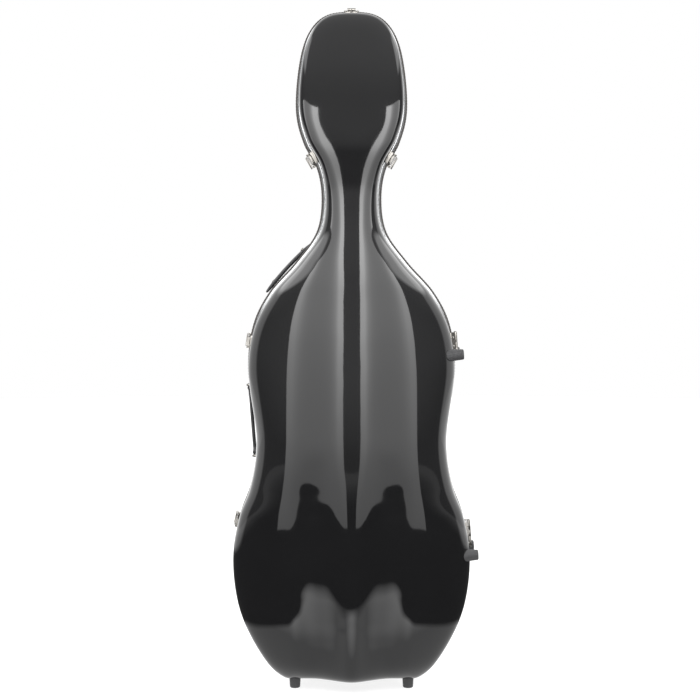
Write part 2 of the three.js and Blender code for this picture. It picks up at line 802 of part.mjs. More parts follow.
function foot(tip, place, form) {
  const profile = [
    [0, -overrun * 2], [footRadius, -overrun * 2], [footRadius, gap * 2], [footTipRadius, tip - footBevel],
    [footTipRadius - footBevel, tip], [0, tip],
  ];
  const body = new THREE.LatheGeometry(profile.map(([across, up]) => new THREE.Vector2(across, up)), footSides);
  return seated(body.rotateX(quarterTurn), place, [form]);
}

function addFeet() {
  const groundOut = floorHeight + bandProud;
  for (const [half, form, depth] of [[lid, lidForm, lidFootDepth], [back, backForm, backFootDepth]]) {
    const shell = half === lid ? 'lid' : 'back';
    for (const [name, side] of [['left', -1], ['right', 1]]) {
      const matrix = matrixAt(side * bottomFootX, half.side * depth, groundOut, 0, -1);
      addPiece(`${shell}_bottom_foot_${name}`, foot(groundOut, matrix, form), darkRubber, addPlace(matrix));
    }
    for (const { name, height } of sideFootPlaces) {
      const matrix = wallMatrix(1, height, half.side * sideFootDepth);
      addPiece(`${shell}_side_foot_${name}`, foot(sideFootOut, matrix, form), darkRubber, addPlace(matrix));
    }
  }
}

// Shoulder handle on two posts

const shoulderHandleShare = 0.587;
const shoulderHandleHeight = THREE.MathUtils.lerp(upperHeight, neckHeight, shoulderHandleShare);
const handleDepth = 40;
const shoulderGripLength = 132;
const shoulderGripOut = 12;
const shoulderGripRise = 3;
const shoulderGripThickness = 4.5;
const shoulderGripWidth = 8.5;
const postSpacing = 86;
const postRadius = 6;
const gripSteps = 10;
const gripSides = 8;
const endTaperShares = [0.55, 0.9];

function archedGrip(extra) {
  const points = [];
  const radii = [];
  for (let step = 0; step <= gripSteps; step += 1) {
    const share = step / gripSteps;
    const edge = Math.min(step, gripSteps - step);
    const taper = endTaperShares[edge] ?? 1;
    const rise = shoulderGripOut + shoulderGripRise * Math.sin(Math.PI * share);
    points.push(new THREE.Vector3((share - 0.5) * shoulderGripLength, 0, rise));
    radii.push([shoulderGripThickness * taper + extra, shoulderGripWidth * taper + extra]);
  }
  return sweepUp(points, radii);
}

// The same sweep for a line that bends outward from the wall
function sweepUp(points, radii) {
  const toFlat = new THREE.Matrix4().makeRotationX(-quarterTurn);
  const flat = points.map((point) => point.clone().applyMatrix4(toFlat));
  const turned = radii.map(([outward, across]) => [across, outward]);
  return sweep(flat, turned, gripSides).applyMatrix4(toFlat.clone().invert());
}

function addShoulderHandle() {
  const matrix = wallMatrix(-1, shoulderHandleHeight, handleDepth);
  const place = addPlace(matrix);
  addPiece('shoulder_grip', archedGrip(0), darkRubber, place);
  const around = archedGrip(gap).applyMatrix4(matrix);
  for (const [name, side] of [['lower', -1], ['upper', 1]]) {
    const post = new THREE.CylinderGeometry(postRadius, postRadius, shoulderGripOut + 2 * overrun, pinSides);
    post.rotateX(quarterTurn);
    post.translate(side * postSpacing / 2, 0, shoulderGripOut / 2 - overrun);
    addPiece(`shoulder_grip_post_${name}`, seated(post, matrix, [backForm, around]), brightMetal, place);
  }
}

// Side handle that swings on two brackets at the waist

const sideHandleLow = 452;
const sideHandleHigh = 602;
const sideHandleOut = 12;
const sideGripDrop = 26;
const sideGripThickness = 4;
const sideGripWidth = 7;
const sideGripInset = 9;
const bracketEar = 4;
const bracketEarRadius = 5;
const bracketLength = 13;
const bracketHalfDepth = 9;
const handlePin = 2.2;

const handleLine = axisLine(-1, sideHandleLow, sideHandleHigh, sideHandleOut);

function sideGrip() {
  const half = handleLine.length / 2 - bracketEar - 2 * gap;
  const shoulder = half - sideGripInset;
  const points = [
    new THREE.Vector3(-half + sideGripThickness, 0, 0),
    new THREE.Vector3(-half + sideGripThickness, sideGripDrop / 3, 0),
    new THREE.Vector3(-shoulder, sideGripDrop - sideGripThickness / 2, 0),
    new THREE.Vector3(-shoulder + sideGripInset, sideGripDrop, 0),
    new THREE.Vector3(0, sideGripDrop, 0),
  ];
  const mirrored = points.slice(0, -1).map((point) => new THREE.Vector3(-point.x, point.y, 0)).reverse();
  const line = new THREE.CatmullRomCurve3([...points, ...mirrored]).getPoints(2 * (gripSteps - 2));
  const radii = line.map((point) => {
    const share = THREE.MathUtils.smoothstep(point.y, 0, sideGripDrop);
    return [sideGripThickness, THREE.MathUtils.lerp(sideGripThickness, sideGripWidth, share)];
  });
  const pins = [-1, 1].map((side) => rod(handlePin, 2 * bracketEar + sideGripThickness,
    side * (half + bracketEar / 2 - sideGripThickness / 2)));
  return join(sweep(line, radii, gripSides), ...pins);
}

function addSideHandle() {
  const matrix = handleLine.at(0.5, handleDepth);
  const place = addPlace(matrix);
  addPiece('side_handle_grip', sideGrip(), darkRubber, place);
  const pad = slab(polygon([
    [-bracketHalfDepth, -sideHandleOut - 2 * overrun], [bracketHalfDepth, -sideHandleOut - 2 * overrun],
    [bracketHalfDepth, plateThickness - sideHandleOut], [-bracketHalfDepth, plateThickness - sideHandleOut],
  ]), bracketLength);
  const ear = new THREE.Shape();
  ear.moveTo(-bracketEarRadius, -sideHandleOut - overrun);
  ear.lineTo(bracketEarRadius, -sideHandleOut - overrun);
  ear.lineTo(bracketEarRadius, 0);
  ear.absarc(0, 0, bracketEarRadius, 0, Math.PI, false);
  for (const [name, side] of [['upper', 1], ['lower', -1]]) {
    const middle = side * (handleLine.length / 2 - bracketEar / 2);
    const padMiddle = side * (handleLine.length / 2 + bracketLength / 2 - bracketEar);
    const bracket = join(slab(ear, bracketEar, middle), pad.clone().translate(padMiddle, 0, 0));
    const bored = cut(bracket, rod(handlePin + gap, bracketLength, middle));
    addPiece(`side_handle_bracket_${name}`, seated(bored, matrix, [backForm]), brightMetal, place);
  }
}

// Strap rings at the lower corners

const ringHeight = 66;
const ringDepth = 58;
const ringOut = 7;
const ringWire = 1.7;
const ringHalfWidth = 11;
const ringReach = 15;
const ringBarrel = 3.8;
const ringBarrelLength = 14;
const ringPlateLength = 20;
const ringPlateWidth = 20;
const ringWireSides = 6;
const ringBends = 8;

// D in depth and reach, with its straight bar on the axis
function strapRing() {
  const bend = ringHalfWidth / 3;
  const points = [new THREE.Vector3(0, -ringHalfWidth + bend, 0), new THREE.Vector3(0, ringHalfWidth - bend, 0)];
  for (let step = 0; step <= ringBends; step += 1) {
    const angle = Math.PI * (step / ringBends);
    points.push(new THREE.Vector3(-bend - (ringReach - bend) * Math.sin(angle), ringHalfWidth * Math.cos(angle), 0));
  }
  const count = points.length;
  const out = new THREE.Vector3(0, 0, 1);
  const rings = points.map((point, spot) => {
    const along = points[(spot + 1) % count].clone().sub(points[(spot + count - 1) % count]).normalize();
    const across = new THREE.Vector3().crossVectors(out, along);
    return Array.from({ length: ringWireSides }, (_, step) => {
      const angle = (2 * Math.PI * (step + 0.5)) / ringWireSides;
      return point.clone()
        .addScaledVector(out, Math.sin(angle) * ringWire)
        .addScaledVector(across, Math.cos(angle) * ringWire);
    });
  });
  return closedBody([...rings, rings[0]]);
}

function addStrapRings() {
  for (const [name, side] of [['left', -1], ['right', 1]]) {
    const matrix = wallMatrix(side, ringHeight, ringDepth);
    const place = addPlace(matrix);
    const flat = polygon([
      [-ringPlateWidth / 2, -overrun], [ringPlateWidth / 2, -overrun],
      [ringPlateWidth / 2, plateThickness + gap], [-ringPlateWidth / 2, plateThickness + gap],
    ]);
    const neckBlock = polygon([
      [-ringBarrelLength / 2, 0], [ringBarrelLength / 2, 0],
      [ringBarrelLength / 2, ringOut], [-ringBarrelLength / 2, ringOut],
    ]);
    const toDepth = new THREE.Matrix4().makeRotationZ(quarterTurn);
    const barrel = rod(ringBarrel, ringBarrelLength).applyMatrix4(toDepth).translate(0, 0, ringOut);
    const bore = rod(ringWire + gap, ringPlateWidth + overrun).applyMatrix4(toDepth).translate(0, 0, ringOut);
    const holder = cut(join(slab(flat, ringPlateLength), slab(neckBlock, 2 * ringWire), barrel), bore);
    addPiece(`strap_ring_holder_${name}`, seated(holder, matrix, [backForm]), brightMetal, place);
    const hanging = new THREE.Group();
    hanging.position.set(0, 0, ringOut);
    hanging.rotation.y = -side * Math.acos(Math.abs(matrix.elements[8]));
    place.add(hanging);
    const ring = strapRing();
    addPiece(`strap_ring_${name}`, side < 0 ? ring : ring.rotateZ(Math.PI), brightMetal, hanging);
  }
}

// Padding that holds the instrument, kept inside the linings

const cradleDrop = 53;
const cradleHeight = neckHeight - cradleDrop;
const cradleLength = 44;
const cradleFace = 24;
const cradleNotch = 40;
const cradleNotchDepth = 20;
const strapWidth = 30;
const strapThickness = 2;
const strapRise = 5;
const endBlockHeight = 60;
const endBlockWidth = 150;
const endBlockFace = 40;
const endPinRadius = 15;
const endPinDepth = 34;
const padHeights = { lower: lowerHeight, upper: upperHeight };
const padWidth = 210;
const padLength = 110;
const padThickness = 16;
const padCorner = 28;
const padCrownShare = 0.35;
const padRimShares = [[1, 0.1], [1, 0.55], [0.92, 0.88], [0.66, 1]];

function blockBody(width, length, near, far, middle) {
  const body = new THREE.BoxGeometry(width, far - near, length);
  return body.translate(0, (near + far) / 2, middle);
}

// Cushion with a crowned face and rounded corners, its back sunk into the lining's curve
function cushion(width, length, face, far, middle) {
  const corner = new THREE.Shape();
  const [halfWidth, halfLength] = [width / 2 - padCorner, length / 2 - padCorner];
  corner.absarc(halfWidth, halfLength, padCorner, 0, quarterTurn, false);
  corner.absarc(-halfWidth, halfLength, padCorner, quarterTurn, 2 * quarterTurn, false);
  corner.absarc(-halfWidth, -halfLength, padCorner, 2 * quarterTurn, 3 * quarterTurn, false);
  corner.absarc(halfWidth, -halfLength, padCorner, 3 * quarterTurn, 4 * quarterTurn, false);
  const rim = corner.getPoints(2);
  const thickness = padThickness * (1 + padCrownShare);
  const rings = padRimShares.map(([spread, rise]) => rim.map((point) => new THREE.Vector3(
    point.x * spread, face + thickness * (1 - rise), middle + point.y * spread)));
  const cap = (depth) => rim.map(() => new THREE.Vector3(0, depth, middle));
  const foot = rim.map((point) => new THREE.Vector3(point.x, far, middle + point.y));
  return closedBody([cap(far), foot, ...rings, cap(face)]);
}

function addPadding() {
  const far = backDepthLower + overrun;
  const notch = blockBody(cradleNotch, cradleLength + overrun, cradleFace - overrun,
    cradleFace + cradleNotchDepth, cradleHeight);
  const round = new THREE.CylinderGeometry(cradleNotch / 2, cradleNotch / 2, cradleLength + overrun, footSides);
  round.rotateX(quarterTurn).translate(0, cradleFace + cradleNotchDepth, cradleHeight);
  const cradle = kept(blockBody(neckWidth, cradleLength, cradleFace, far, cradleHeight), backSpace);
  addPiece('neck_cradle', cut(cradle, notch, round), plush);

  const strapHalf = neckWidth / 2 - bandProud - liningInner - 2 * gap;
  const strapFace = cradleFace - gap;
  const strapOutline = new THREE.Shape();
  strapOutline.moveTo(-strapHalf, strapFace);
  strapOutline.lineTo(-cradleNotch / 2, strapFace);
  strapOutline.quadraticCurveTo(0, strapFace - 2 * strapRise, cradleNotch / 2, strapFace);
  strapOutline.lineTo(strapHalf, strapFace);
  strapOutline.lineTo(strapHalf, strapFace - strapThickness);
  strapOutline.lineTo(cradleNotch / 2, strapFace - strapThickness);
  strapOutline.quadraticCurveTo(0, strapFace - 2 * strapRise - strapThickness,
    -cradleNotch / 2, strapFace - strapThickness);
  strapOutline.lineTo(-strapHalf, strapFace - strapThickness);
  const strap = new THREE.ExtrudeGeometry(strapOutline, {
    depth: strapWidth, bevelEnabled: false, curveSegments: roundSteps });
  strap.translate(0, 0, cradleHeight - strapWidth / 2);
  addPiece('neck_strap', join(strap), webbing);

  const endHole = new THREE.CylinderGeometry(endPinRadius, endPinRadius, 2 * endPinDepth, footSides);
  endHole.rotateX(quarterTurn);
  const endTop = floorHeight + bandProud + liningInner + endBlockHeight;
  endHole.translate(0, (endBlockFace + backDepthBottom) / 2, endTop);
  const endBlock = kept(blockBody(endBlockWidth, 2 * endBlockHeight, endBlockFace, far,
    endTop - endBlockHeight), backSpace);
  addPiece('end_pin_block', cut(endBlock, endHole), plush);

  for (const [name, height] of Object.entries(padHeights)) {
    const face = backCrown(height) - liningInner - padThickness;
    addPiece(`back_pad_${name}`, kept(cushion(padWidth, padLength, face, far, height), backSpace), plush);
  }
}

// Bow holders in the lid

const bowSpacing = 64;
const frogBlockHeight = 205;
const frogBlockLength = 46;
const tipBlockDrop = 88;
const tipBlockHeight = neckHeight - tipBlockDrop;
const tipBlockLength = 40;
const bowBlockRise = 26;
const bowGroove = 14;
const bowGrooveDepth = 15;
const bowBlockMargin = 14;
const buttonLength = 34;
const buttonWidth = 12;
const buttonThickness = 4;

function bowBlock(height, length, spread) {
  const face = -(lidCrown(height) - liningInner - bowBlockRise);
  const half = spread / 2 + bowGroove / 2 + bowBlockMargin;
  const block = kept(blockBody(2 * half, length, face - 2 * bowBlockRise, face, height), lidSpace);
  const grooves = [-1, 1].map((side) => {
    const groove = new THREE.BoxGeometry(bowGroove, 2 * bowGrooveDepth, length + overrun);
    return groove.translate(side * spread / 2, face, height);
  });
  return { body: cut(block, ...grooves), face };
}

function addBowHolders() {
  const frog = bowBlock(frogBlockHeight, frogBlockLength, bowSpacing);
  addPiece('bow_frog_block', frog.body, plush);
  addPiece('bow_tip_block', bowBlock(tipBlockHeight, tipBlockLength, bowSpacing / 2).body, plush);
  for (const [name, side] of [['left', -1], ['right', 1]]) {
    const rounded = new THREE.Shape();
    const straight = (buttonLength - buttonWidth) / 2;
    rounded.absarc(straight, 0, buttonWidth / 2, -quarterTurn, quarterTurn, false);
    rounded.absarc(-straight, 0, buttonWidth / 2, quarterTurn, 3 * quarterTurn, false);
    const button = new THREE.ExtrudeGeometry(rounded, {
      depth: buttonThickness, bevelEnabled: false, curveSegments: roundSteps });
    button.rotateX(-quarterTurn);
    const mesh = addPiece(`bow_turn_button_${name}`, join(button), blackPlastic);
    mesh.position.set(side * (bowSpacing / 2 - bowGroove / 2 - buttonWidth / 2), frog.face + gap, frogBlockHeight);
  }
}

addShells();
addBands();
latchPlaces.forEach(addLatch);
addHinge('lower', 0, hingeLowHeight);
addHinge('upper', 1, hingeHighHeight);
addFeet();
addShoulderHandle();
addSideHandle();
addStrapRings();
addPadding();
addBowHolders();

// The part's origin is the middle of its box, on the floor
const part = new THREE.Group();
part.add(caseGroup);
part.updateMatrixWorld(true);
const bounds = new THREE.Box3().setFromObject(part, true);
const middle = bounds.getCenter(new THREE.Vector3());
caseGroup.position.set(-middle.x, -middle.y, -bounds.min.z);
part.updateMatrixWorld(true);

export default part;
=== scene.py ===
"""Cello hard case: glossy black shells, edge bands, latches, handles, feet and a plush inside."""

import math

import bmesh
import bpy
from mathutils import Matrix, Vector
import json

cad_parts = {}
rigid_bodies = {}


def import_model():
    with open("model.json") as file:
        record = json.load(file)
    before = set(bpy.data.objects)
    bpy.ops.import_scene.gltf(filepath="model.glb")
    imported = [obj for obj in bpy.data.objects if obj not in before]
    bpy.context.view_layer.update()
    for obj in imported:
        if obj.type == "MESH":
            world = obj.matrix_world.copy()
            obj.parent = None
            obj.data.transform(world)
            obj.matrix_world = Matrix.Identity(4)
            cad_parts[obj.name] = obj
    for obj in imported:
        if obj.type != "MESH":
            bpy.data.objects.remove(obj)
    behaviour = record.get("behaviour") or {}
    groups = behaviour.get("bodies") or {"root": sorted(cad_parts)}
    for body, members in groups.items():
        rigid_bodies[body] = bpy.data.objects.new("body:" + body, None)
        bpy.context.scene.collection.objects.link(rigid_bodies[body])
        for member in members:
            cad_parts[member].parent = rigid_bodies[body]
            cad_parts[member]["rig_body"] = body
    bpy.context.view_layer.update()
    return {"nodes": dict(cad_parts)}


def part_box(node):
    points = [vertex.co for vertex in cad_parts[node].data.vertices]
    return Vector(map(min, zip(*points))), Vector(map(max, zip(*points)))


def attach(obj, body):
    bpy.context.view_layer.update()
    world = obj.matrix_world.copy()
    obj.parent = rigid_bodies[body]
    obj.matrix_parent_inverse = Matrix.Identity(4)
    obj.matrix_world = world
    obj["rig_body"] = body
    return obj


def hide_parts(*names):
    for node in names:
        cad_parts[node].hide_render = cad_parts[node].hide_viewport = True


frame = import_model()
nodes = frame["nodes"]

# Metres to a millimetre, and how close in metres points are when they merge
MM = 0.001
MERGE_DISTANCE = 1e-6

# Outline over the edge bands, in millimetres: widths across and heights above the floor
TOP_HEIGHT = 1335
HEAD_WIDTH = 220
HEAD_HEIGHT = 1140
NECK_WIDTH = 119
NECK_HEIGHT = 968
UPPER_WIDTH = 412
UPPER_HEIGHT = 636
WAIST_WIDTH = 379
WAIST_HEIGHT = 490
LOWER_WIDTH = 470
LOWER_HEIGHT = 262
FLOOR_WIDTH = 286
FLOOR_HEIGHT = 19
CROWN_SHARES = [(0.42, 0.03), (0.66, 0.125), (0.87, 0.35)]
THROAT_SHARES = [(0.3, 0.37), (0.83, 0.67)]
SHOULDER_SHARES = [(0.065, 0.195), (0.35, 0.376), (0.71, 0.557), (0.92, 0.74)]
WAIST_SHARES = [(0.25, 0.385), (0.71, 0.64)]
BOTTOM_SHARES = [(0.09, 0.36), (0.3, 0.59), (0.66, 0.83), (0.9, 0.94)]
FLOOR_RUN_SHARES = [0.9, 0.8]

# Walls and clearances
GAP = 0.3
WALL = 3
LINING_THICKNESS = 8

# Counts of steps down half the outline, over each half's skins, and for measuring the outline
HALF_STATIONS = 240
SKIN_COURSES = {"lid": 84, "back": 40}
LINING_COURSES = {"lid": 70, "back": 30}
SAMPLES = 1400

# Form of the shells: depths from the seam and, in the lists, values by height
COLLAR_DEPTH = 15
SPINE_BOTTOM = 230
SPINE_TOP = 1235
LID_CROWN = [(19, 130), (425, 150), (790, 113), (968, 85), (1070, 88.5), (1200, 79), (1335, 52)]
LID_THIGH = [
    (19, 88), (50, 108.5), (80, 119.5), (127, 129.5), (200, 136), (300, 143.5), (400, 147.8),
    (450, 148.6), (500, 146.4), (530, 143.97),
]
BACK_CROWN = [(19, 114), (262, 126), (636, 122), (790, 104), (968, 72), (1140, 84), (1335, 84)]
LID_FLARE = [(19, 7), (300, 7), (490, 5.5), (650, 5.5), (780, 0), (1335, 0)]
LID_ROUND = [
    (19, 0.31), (490, 0.36), (636, 0.47), (790, 0.5), (968, 0.3), (1020, 0.2), (1080, 0.17),
    (1220, 0.19), (1335, 0.27),
]
BACK_ROUND = 0.64
CAMBER_RADIUS = 400
FACE_CAMBER_RADIUS = 9000
FLAT_START = 950
FLAT_FULL = 1120
RIDGE_HALF_WIDTH = 80
THIGH_MERGE = (470, 530)

# The lid's two scoops: where their middles run, their widths to each side, and their depths
SCOOP_TOP = 490
SCOOP_MIDDLE = [(19, 50), (135, 53), (159, 55), (192, 58), (231, 61), (366, 71), (490, 71)]
SCOOP_INNER = [
    (19, 50), (135, 52), (159, 53), (192, 54), (231, 55), (333, 54), (399, 49), (450, 41), (490, 38),
]
SCOOP_OUTER = [
    (19, 60), (135, 64), (159, 63), (192, 61), (231, 58), (333, 54), (399, 49), (450, 41), (490, 38),
]
SCOOP_DEPTH = [
    (19, 6), (60, 14), (100, 20), (120, 21.2), (140, 21.3), (155, 20.5), (170, 19.2), (190, 17),
    (210, 14.8), (231, 12.5), (245, 11), (262, 9.6), (275, 9), (300, 8.7), (333, 8.6), (355, 8.3),
    (366, 8), (382, 7.4), (399, 6.65), (418, 5.55), (437, 4.3), (450, 3.2), (465, 1.6), (472, 0.95),
    (480, 0.35), (490, 0),
]
SCOOP_CREST = 10
SCOOP_FLATNESS = [(19, 1.6), (235, 1.6), (333, 1.3), (490, 1.3)]

# Edge bands: sizes outward from the shell wall and depths from the seam
BAND_PROUD = 8.5
BAND_DEPTH = 16
BEAD_PROUD = 4.5
LID_BAND_DEPTH = 14
LIP_THICKNESS = 1.6
LIP_DEPTHS = (9, 13)
LIP_EDGE = 1
SEAM_GAP = 0.4
LID_EDGE = 2.5
BACK_EDGE = 5
FLANGE_THICKNESS = 2.1
BEAD_FACE = [(3.3, SEAM_GAP), (4.2, 0.9), (BEAD_PROUD, 2.4), (BEAD_PROUD, 6.2), (4.2, 7.4), (3.3, 8)]
RIBBED_FACE = [
    (7.5, SEAM_GAP), (8.3, 0.8), (BAND_PROUD, 1.6), (BAND_PROUD, 5.6), (8.2, 6.4), (7.5, 7), (8.2, 7.6),
    (BAND_PROUD, 8.4), (BAND_PROUD, 14.4), (8.2, 15.4), (7.4, BAND_DEPTH),
]
SEAL_WIDTH = 5
SEAL_SHOULDER = 0.7
SEAL_CROWN = [(-2.4, 0.1), (-0.5, 0), (1.4, 0.1)]
RIM_DEPTH = 7
RIB_STATIONS = 540
RIB_DEPTH = 0.55
RIB_RELIEF = 0.5
PIPING_RADIUS = 1.9
PIPING_SIDES = 10

# Hardware: heights above the floor, widths and reaches, in millimetres
PLATE_THICKNESS = 2
LATCHES = {
    "top": (1, 1335), "neck_left": (-1, 1046), "neck_right": (1, 1046), "upper_left": (-1, 688),
    "lower_left": (-1, 329),
}
LATCH_RIVETS = [(-9, 34), (9, 34), (-9, 46), (9, 46)]
STRIKE_RIVETS = [(-7, -32), (7, -32)]
STRIKE_TOP = 6.8
HINGE_HEIGHTS = {"lower": 306, "upper": 679}
HINGE_OUT = 12.5
HINGE_RIVETS = (-17, 0, 17)
HINGE_RIVET_DEPTH = 31
FOOT_PROFILE = [
    (0, -12), (12, -12), (12, 0.6), (11.7, 1.2), (10.2, -2.2), (9.9, -1.1), (9.2, -0.3), (8.5, 0),
    (5, 0), (4.4, -0.3), (4.2, -2.6), (0, -2.6),
]
FOOT_TIP_POINTS = 8
SIDE_FOOT_OUT = 22.5
SIDE_FOOT_DEPTH = 57
SIDE_FEET = {"lower": 269, "upper": 662}
BOTTOM_FOOT_X = 112
BOTTOM_FOOT_DEPTHS = {"lid": -32, "back": 66}
HANDLE_DEPTH = 40
SHOULDER_HANDLE_HEIGHT = 830.9
SHOULDER_POSTS = (-43, 43)
SHOULDER_SCREW_RISE = 18.1
SIDE_HANDLE_HEIGHTS = (452, 602)
SIDE_HANDLE_OUT = 12
HANDLE_RIVET_OFFSET = 5
RING_HEIGHT = 66
RING_DEPTH = 58
RING_RIVETS = [(-7, -7), (7, -7), (-7, 7), (7, 7)]

# Rivet heads as radius and rise; screw heads as radius, rise and the radius of the socket
LATCH_RIVET_HEAD = (1.9, 0.7)
HINGE_RIVET_HEAD = (2.2, 0.9)
HANDLE_RIVET_HEAD = (1.7, 0.7)
RING_RIVET_HEAD = (1.5, 0.6)
FOOT_SCREW_HEAD = (3.2, 1.0, 1.5)
GRIP_SCREW_HEAD = (3.6, 1.0, 1.5)
BUTTON_SCREW_HEAD = (2.6, 0.7, 1.1)
DOME_SHARES = [(0, 1), (0.45, 0.9), (0.8, 0.55)]
DOME_LIP = 0.1
SHOULDER_SHARE = (0.7, 0.4)
HEAD_UNDER = 1.5
SOCKET_DEPTH = 1.2
FOOT_SCREW_SINK = 2.4
RIVET_SIDES = 20
SCREW_SIDES = 24
FOOT_SIDES = 40
LATHE_MERGE = 0.001

# Roundings of the fittings' edges, and angles in degrees
LATCH_ROUNDING = 0.35
HINGE_ROUNDING = 0.3
HOLDER_ROUNDING = 0.4
BRACKET_ROUNDING = 0.5
BUTTON_ROUNDING = 0.9
FLAT_ANGLE = 1
CORNER_ANGLE = 35
SHARP_ANGLE = 40
ALL_SMOOTH = 180

# Padding and straps inside
PAD_WIDTH = 210
PAD_LENGTH = 110
PAD_CORNER = 28
PAD_CORNER_STEPS = 8
PAD_SIDE_STEPS = 10
PAD_THICKNESS = 16
PAD_SEAM_SHARE = 0.675
PAD_HEIGHTS = {"lower": 262, "upper": 636}
WELT_RADIUS = 1.7
STRAP_HEIGHT = 915
STRAP_HALF_LENGTH = 38.5
STRAP_HALF_WIDTH = 15
STRAP_FACE = 23.7
STRAP_THICKNESS = 2
STRAP_RISE = 5
STRAP_HALF_NOTCH = 20
STRAP_STEPS = 40
SELVEDGE_WIDTH = 0.8
SELVEDGE_RISE = 0.3
TAB_INSET = 2
TAB_THICKNESS = 1.6
TAB_GAP = 0.05
BUTTON_MIDDLE = 19
BUTTON_HEIGHT = 205

# Padded blocks: slack under the cover, size of the mesh, most swell, and how full the foam is
PADDINGS = {
    "back_pad": (1.2, 4.5, 5, 0.7),
    "neck_cradle": (1.5, 4, 3, 0.8),
    "end_pin_block": (1.5, 4.5, 3, 0.9),
    "bow_frog_block": (1.5, 3, 1.5, 0.9),
    "bow_tip_block": (1, 3, 1.5, 0.9),
}
PUFF_PRESSURE = 4.0
PUFF_FRAMES = 20
SEAM_FADE = 7


def lerp(a, b, share):
    return a + (b - a) * share


def smoothstep(low, high, value):
    share = min(max((value - low) / (high - low), 0.0), 1.0)
    return share * share * (3 - 2 * share)


# Outline stations


def outline_marks():
    def mark(width, height):
        return (width / 2, height)

    def between(start, end, shares):
        return [(lerp(start[0], end[0], a), lerp(start[1], end[1], d)) for a, d in shares]

    top, head, neck = mark(0, TOP_HEIGHT), mark(HEAD_WIDTH, HEAD_HEIGHT), mark(NECK_WIDTH, NECK_HEIGHT)
    upper, waist = mark(UPPER_WIDTH, UPPER_HEIGHT), mark(WAIST_WIDTH, WAIST_HEIGHT)
    lower, corner = mark(LOWER_WIDTH, LOWER_HEIGHT), mark(FLOOR_WIDTH, FLOOR_HEIGHT)
    side = [
        *between(top, head, CROWN_SHARES), head, *between(head, neck, THROAT_SHARES), neck,
        *between(neck, upper, SHOULDER_SHARES), upper, waist,
        *between(waist, lower, WAIST_SHARES), lower, *between(lower, corner, BOTTOM_SHARES),
        *[mark(FLOOR_WIDTH * share, FLOOR_HEIGHT) for share in FLOOR_RUN_SHARES],
    ]
    mirrored = [(-x, z) for x, z in reversed(side)]
    return [top, *side, mark(0, FLOOR_HEIGHT), *mirrored]


def spline_point(marks, share):
    """Centripetal curve through the marks, closed on itself; share runs from 0 to 1."""
    count = len(marks)
    place = share * count
    first = int(place)
    t = place - first
    p = [Vector(marks[(first + step) % count]) for step in (-1, 0, 1, 2)]
    d = [math.sqrt((p[i + 1] - p[i]).length) for i in range(3)]
    leave = ((p[1] - p[0]) / d[0] - (p[2] - p[0]) / (d[0] + d[1]) + (p[2] - p[1]) / d[1]) * d[1]
    arrive = ((p[2] - p[1]) / d[1] - (p[3] - p[1]) / (d[1] + d[2]) + (p[3] - p[2]) / d[2]) * d[1]
    a = p[1]
    b = leave
    c = -3 * p[1] + 3 * p[2] - 2 * leave - arrive
    e = 2 * p[1] - 2 * p[2] + leave + arrive
    return a + b * t + c * t * t + e * t * t * t, (b + 2 * c * t + 3 * e * t * t).normalized()


def outline_stations(half_count):
    """Stations at even steps down the right side from the top, then up the left side."""
    marks = outline_marks()
    dense = [spline_point(marks, 0.5 * step / SAMPLES) for step in range(SAMPLES + 1)]
    runs = [0.0]
    for (here, _), (after, _) in zip(dense, dense[1:]):
        runs.append(runs[-1] + (after - here).length)
    stations = []
    spot = 0
    for step in range(half_count + 1):
        wanted = runs[-1] * step / half_count
        while spot < SAMPLES - 1 and runs[spot + 1] < wanted:
            spot += 1
        share = (wanted - runs[spot]) / (runs[spot + 1] - runs[spot])
        point = dense[spot][0].lerp(dense[spot + 1][0], share)
        along = dense[spot][1].lerp(dense[spot + 1][1], share).normalized()
        stations.append((point.x, point.y, -along.y, along.x))
    stations[0] = (0.0, stations[0][1], 0.0, 1.0)
    stations[-1] = (0.0, stations[-1][1], 0.0, -1.0)
    mirrored = [(-x, z, -nx, nz) for x, z, nx, nz in stations[1:-1]]
    return stations + mirrored[::-1]


STATIONS = outline_stations(HALF_STATIONS)
FINE_STATIONS = outline_stations(SAMPLES // 2)[:SAMPLES // 2 + 1]
lid_band_low, lid_band_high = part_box("lid_edge_band")
SHIFT = Vector(((lid_band_low.x + lid_band_high.x) / 2, lid_band_high.y + SEAM_GAP * MM, 0.0))


def in_frame(x, y, z):
    return Vector((x * MM, y * MM, z * MM)) + SHIFT


def height_curve(marks):
    """Smooth line through marks of height and value."""
    last = len(marks) - 1

    def slope(spot):
        before, after = marks[max(spot - 1, 0)], marks[min(spot + 1, last)]
        return (after[1] - before[1]) / (after[0] - before[0])

    def value(height):
        high = next((i for i, mark in enumerate(marks) if mark[0] > height), last)
        high = max(high, 1)
        low = high - 1
        span = marks[high][0] - marks[low][0]
        t = min(max((height - marks[low][0]) / span, 0.0), 1.0)
        rise = t * t * (3 - 2 * t)
        leave = t * (1 - t) * (1 - t) * span * slope(low)
        arrive = t * t * (t - 1) * span * slope(high)
        return lerp(marks[low][1], marks[high][1], rise) + leave + arrive

    return value


lid_crown = height_curve(LID_CROWN)
lid_thigh = height_curve(LID_THIGH)
lid_flare = height_curve(LID_FLARE)
lid_round = height_curve(LID_ROUND)
back_crown = height_curve(BACK_CROWN)
scoop_middle = height_curve(SCOOP_MIDDLE)
scoop_inner = height_curve(SCOOP_INNER)
scoop_outer = height_curve(SCOOP_OUTER)
scoop_depth = height_curve(SCOOP_DEPTH)
scoop_flatness = height_curve(SCOOP_FLATNESS)


def bell(share):
    """Swell that falls from 1 in its middle to 0 at its edge."""
    return math.cos(math.pi * share / 2) ** 2 if abs(share) < 1 else 0.0


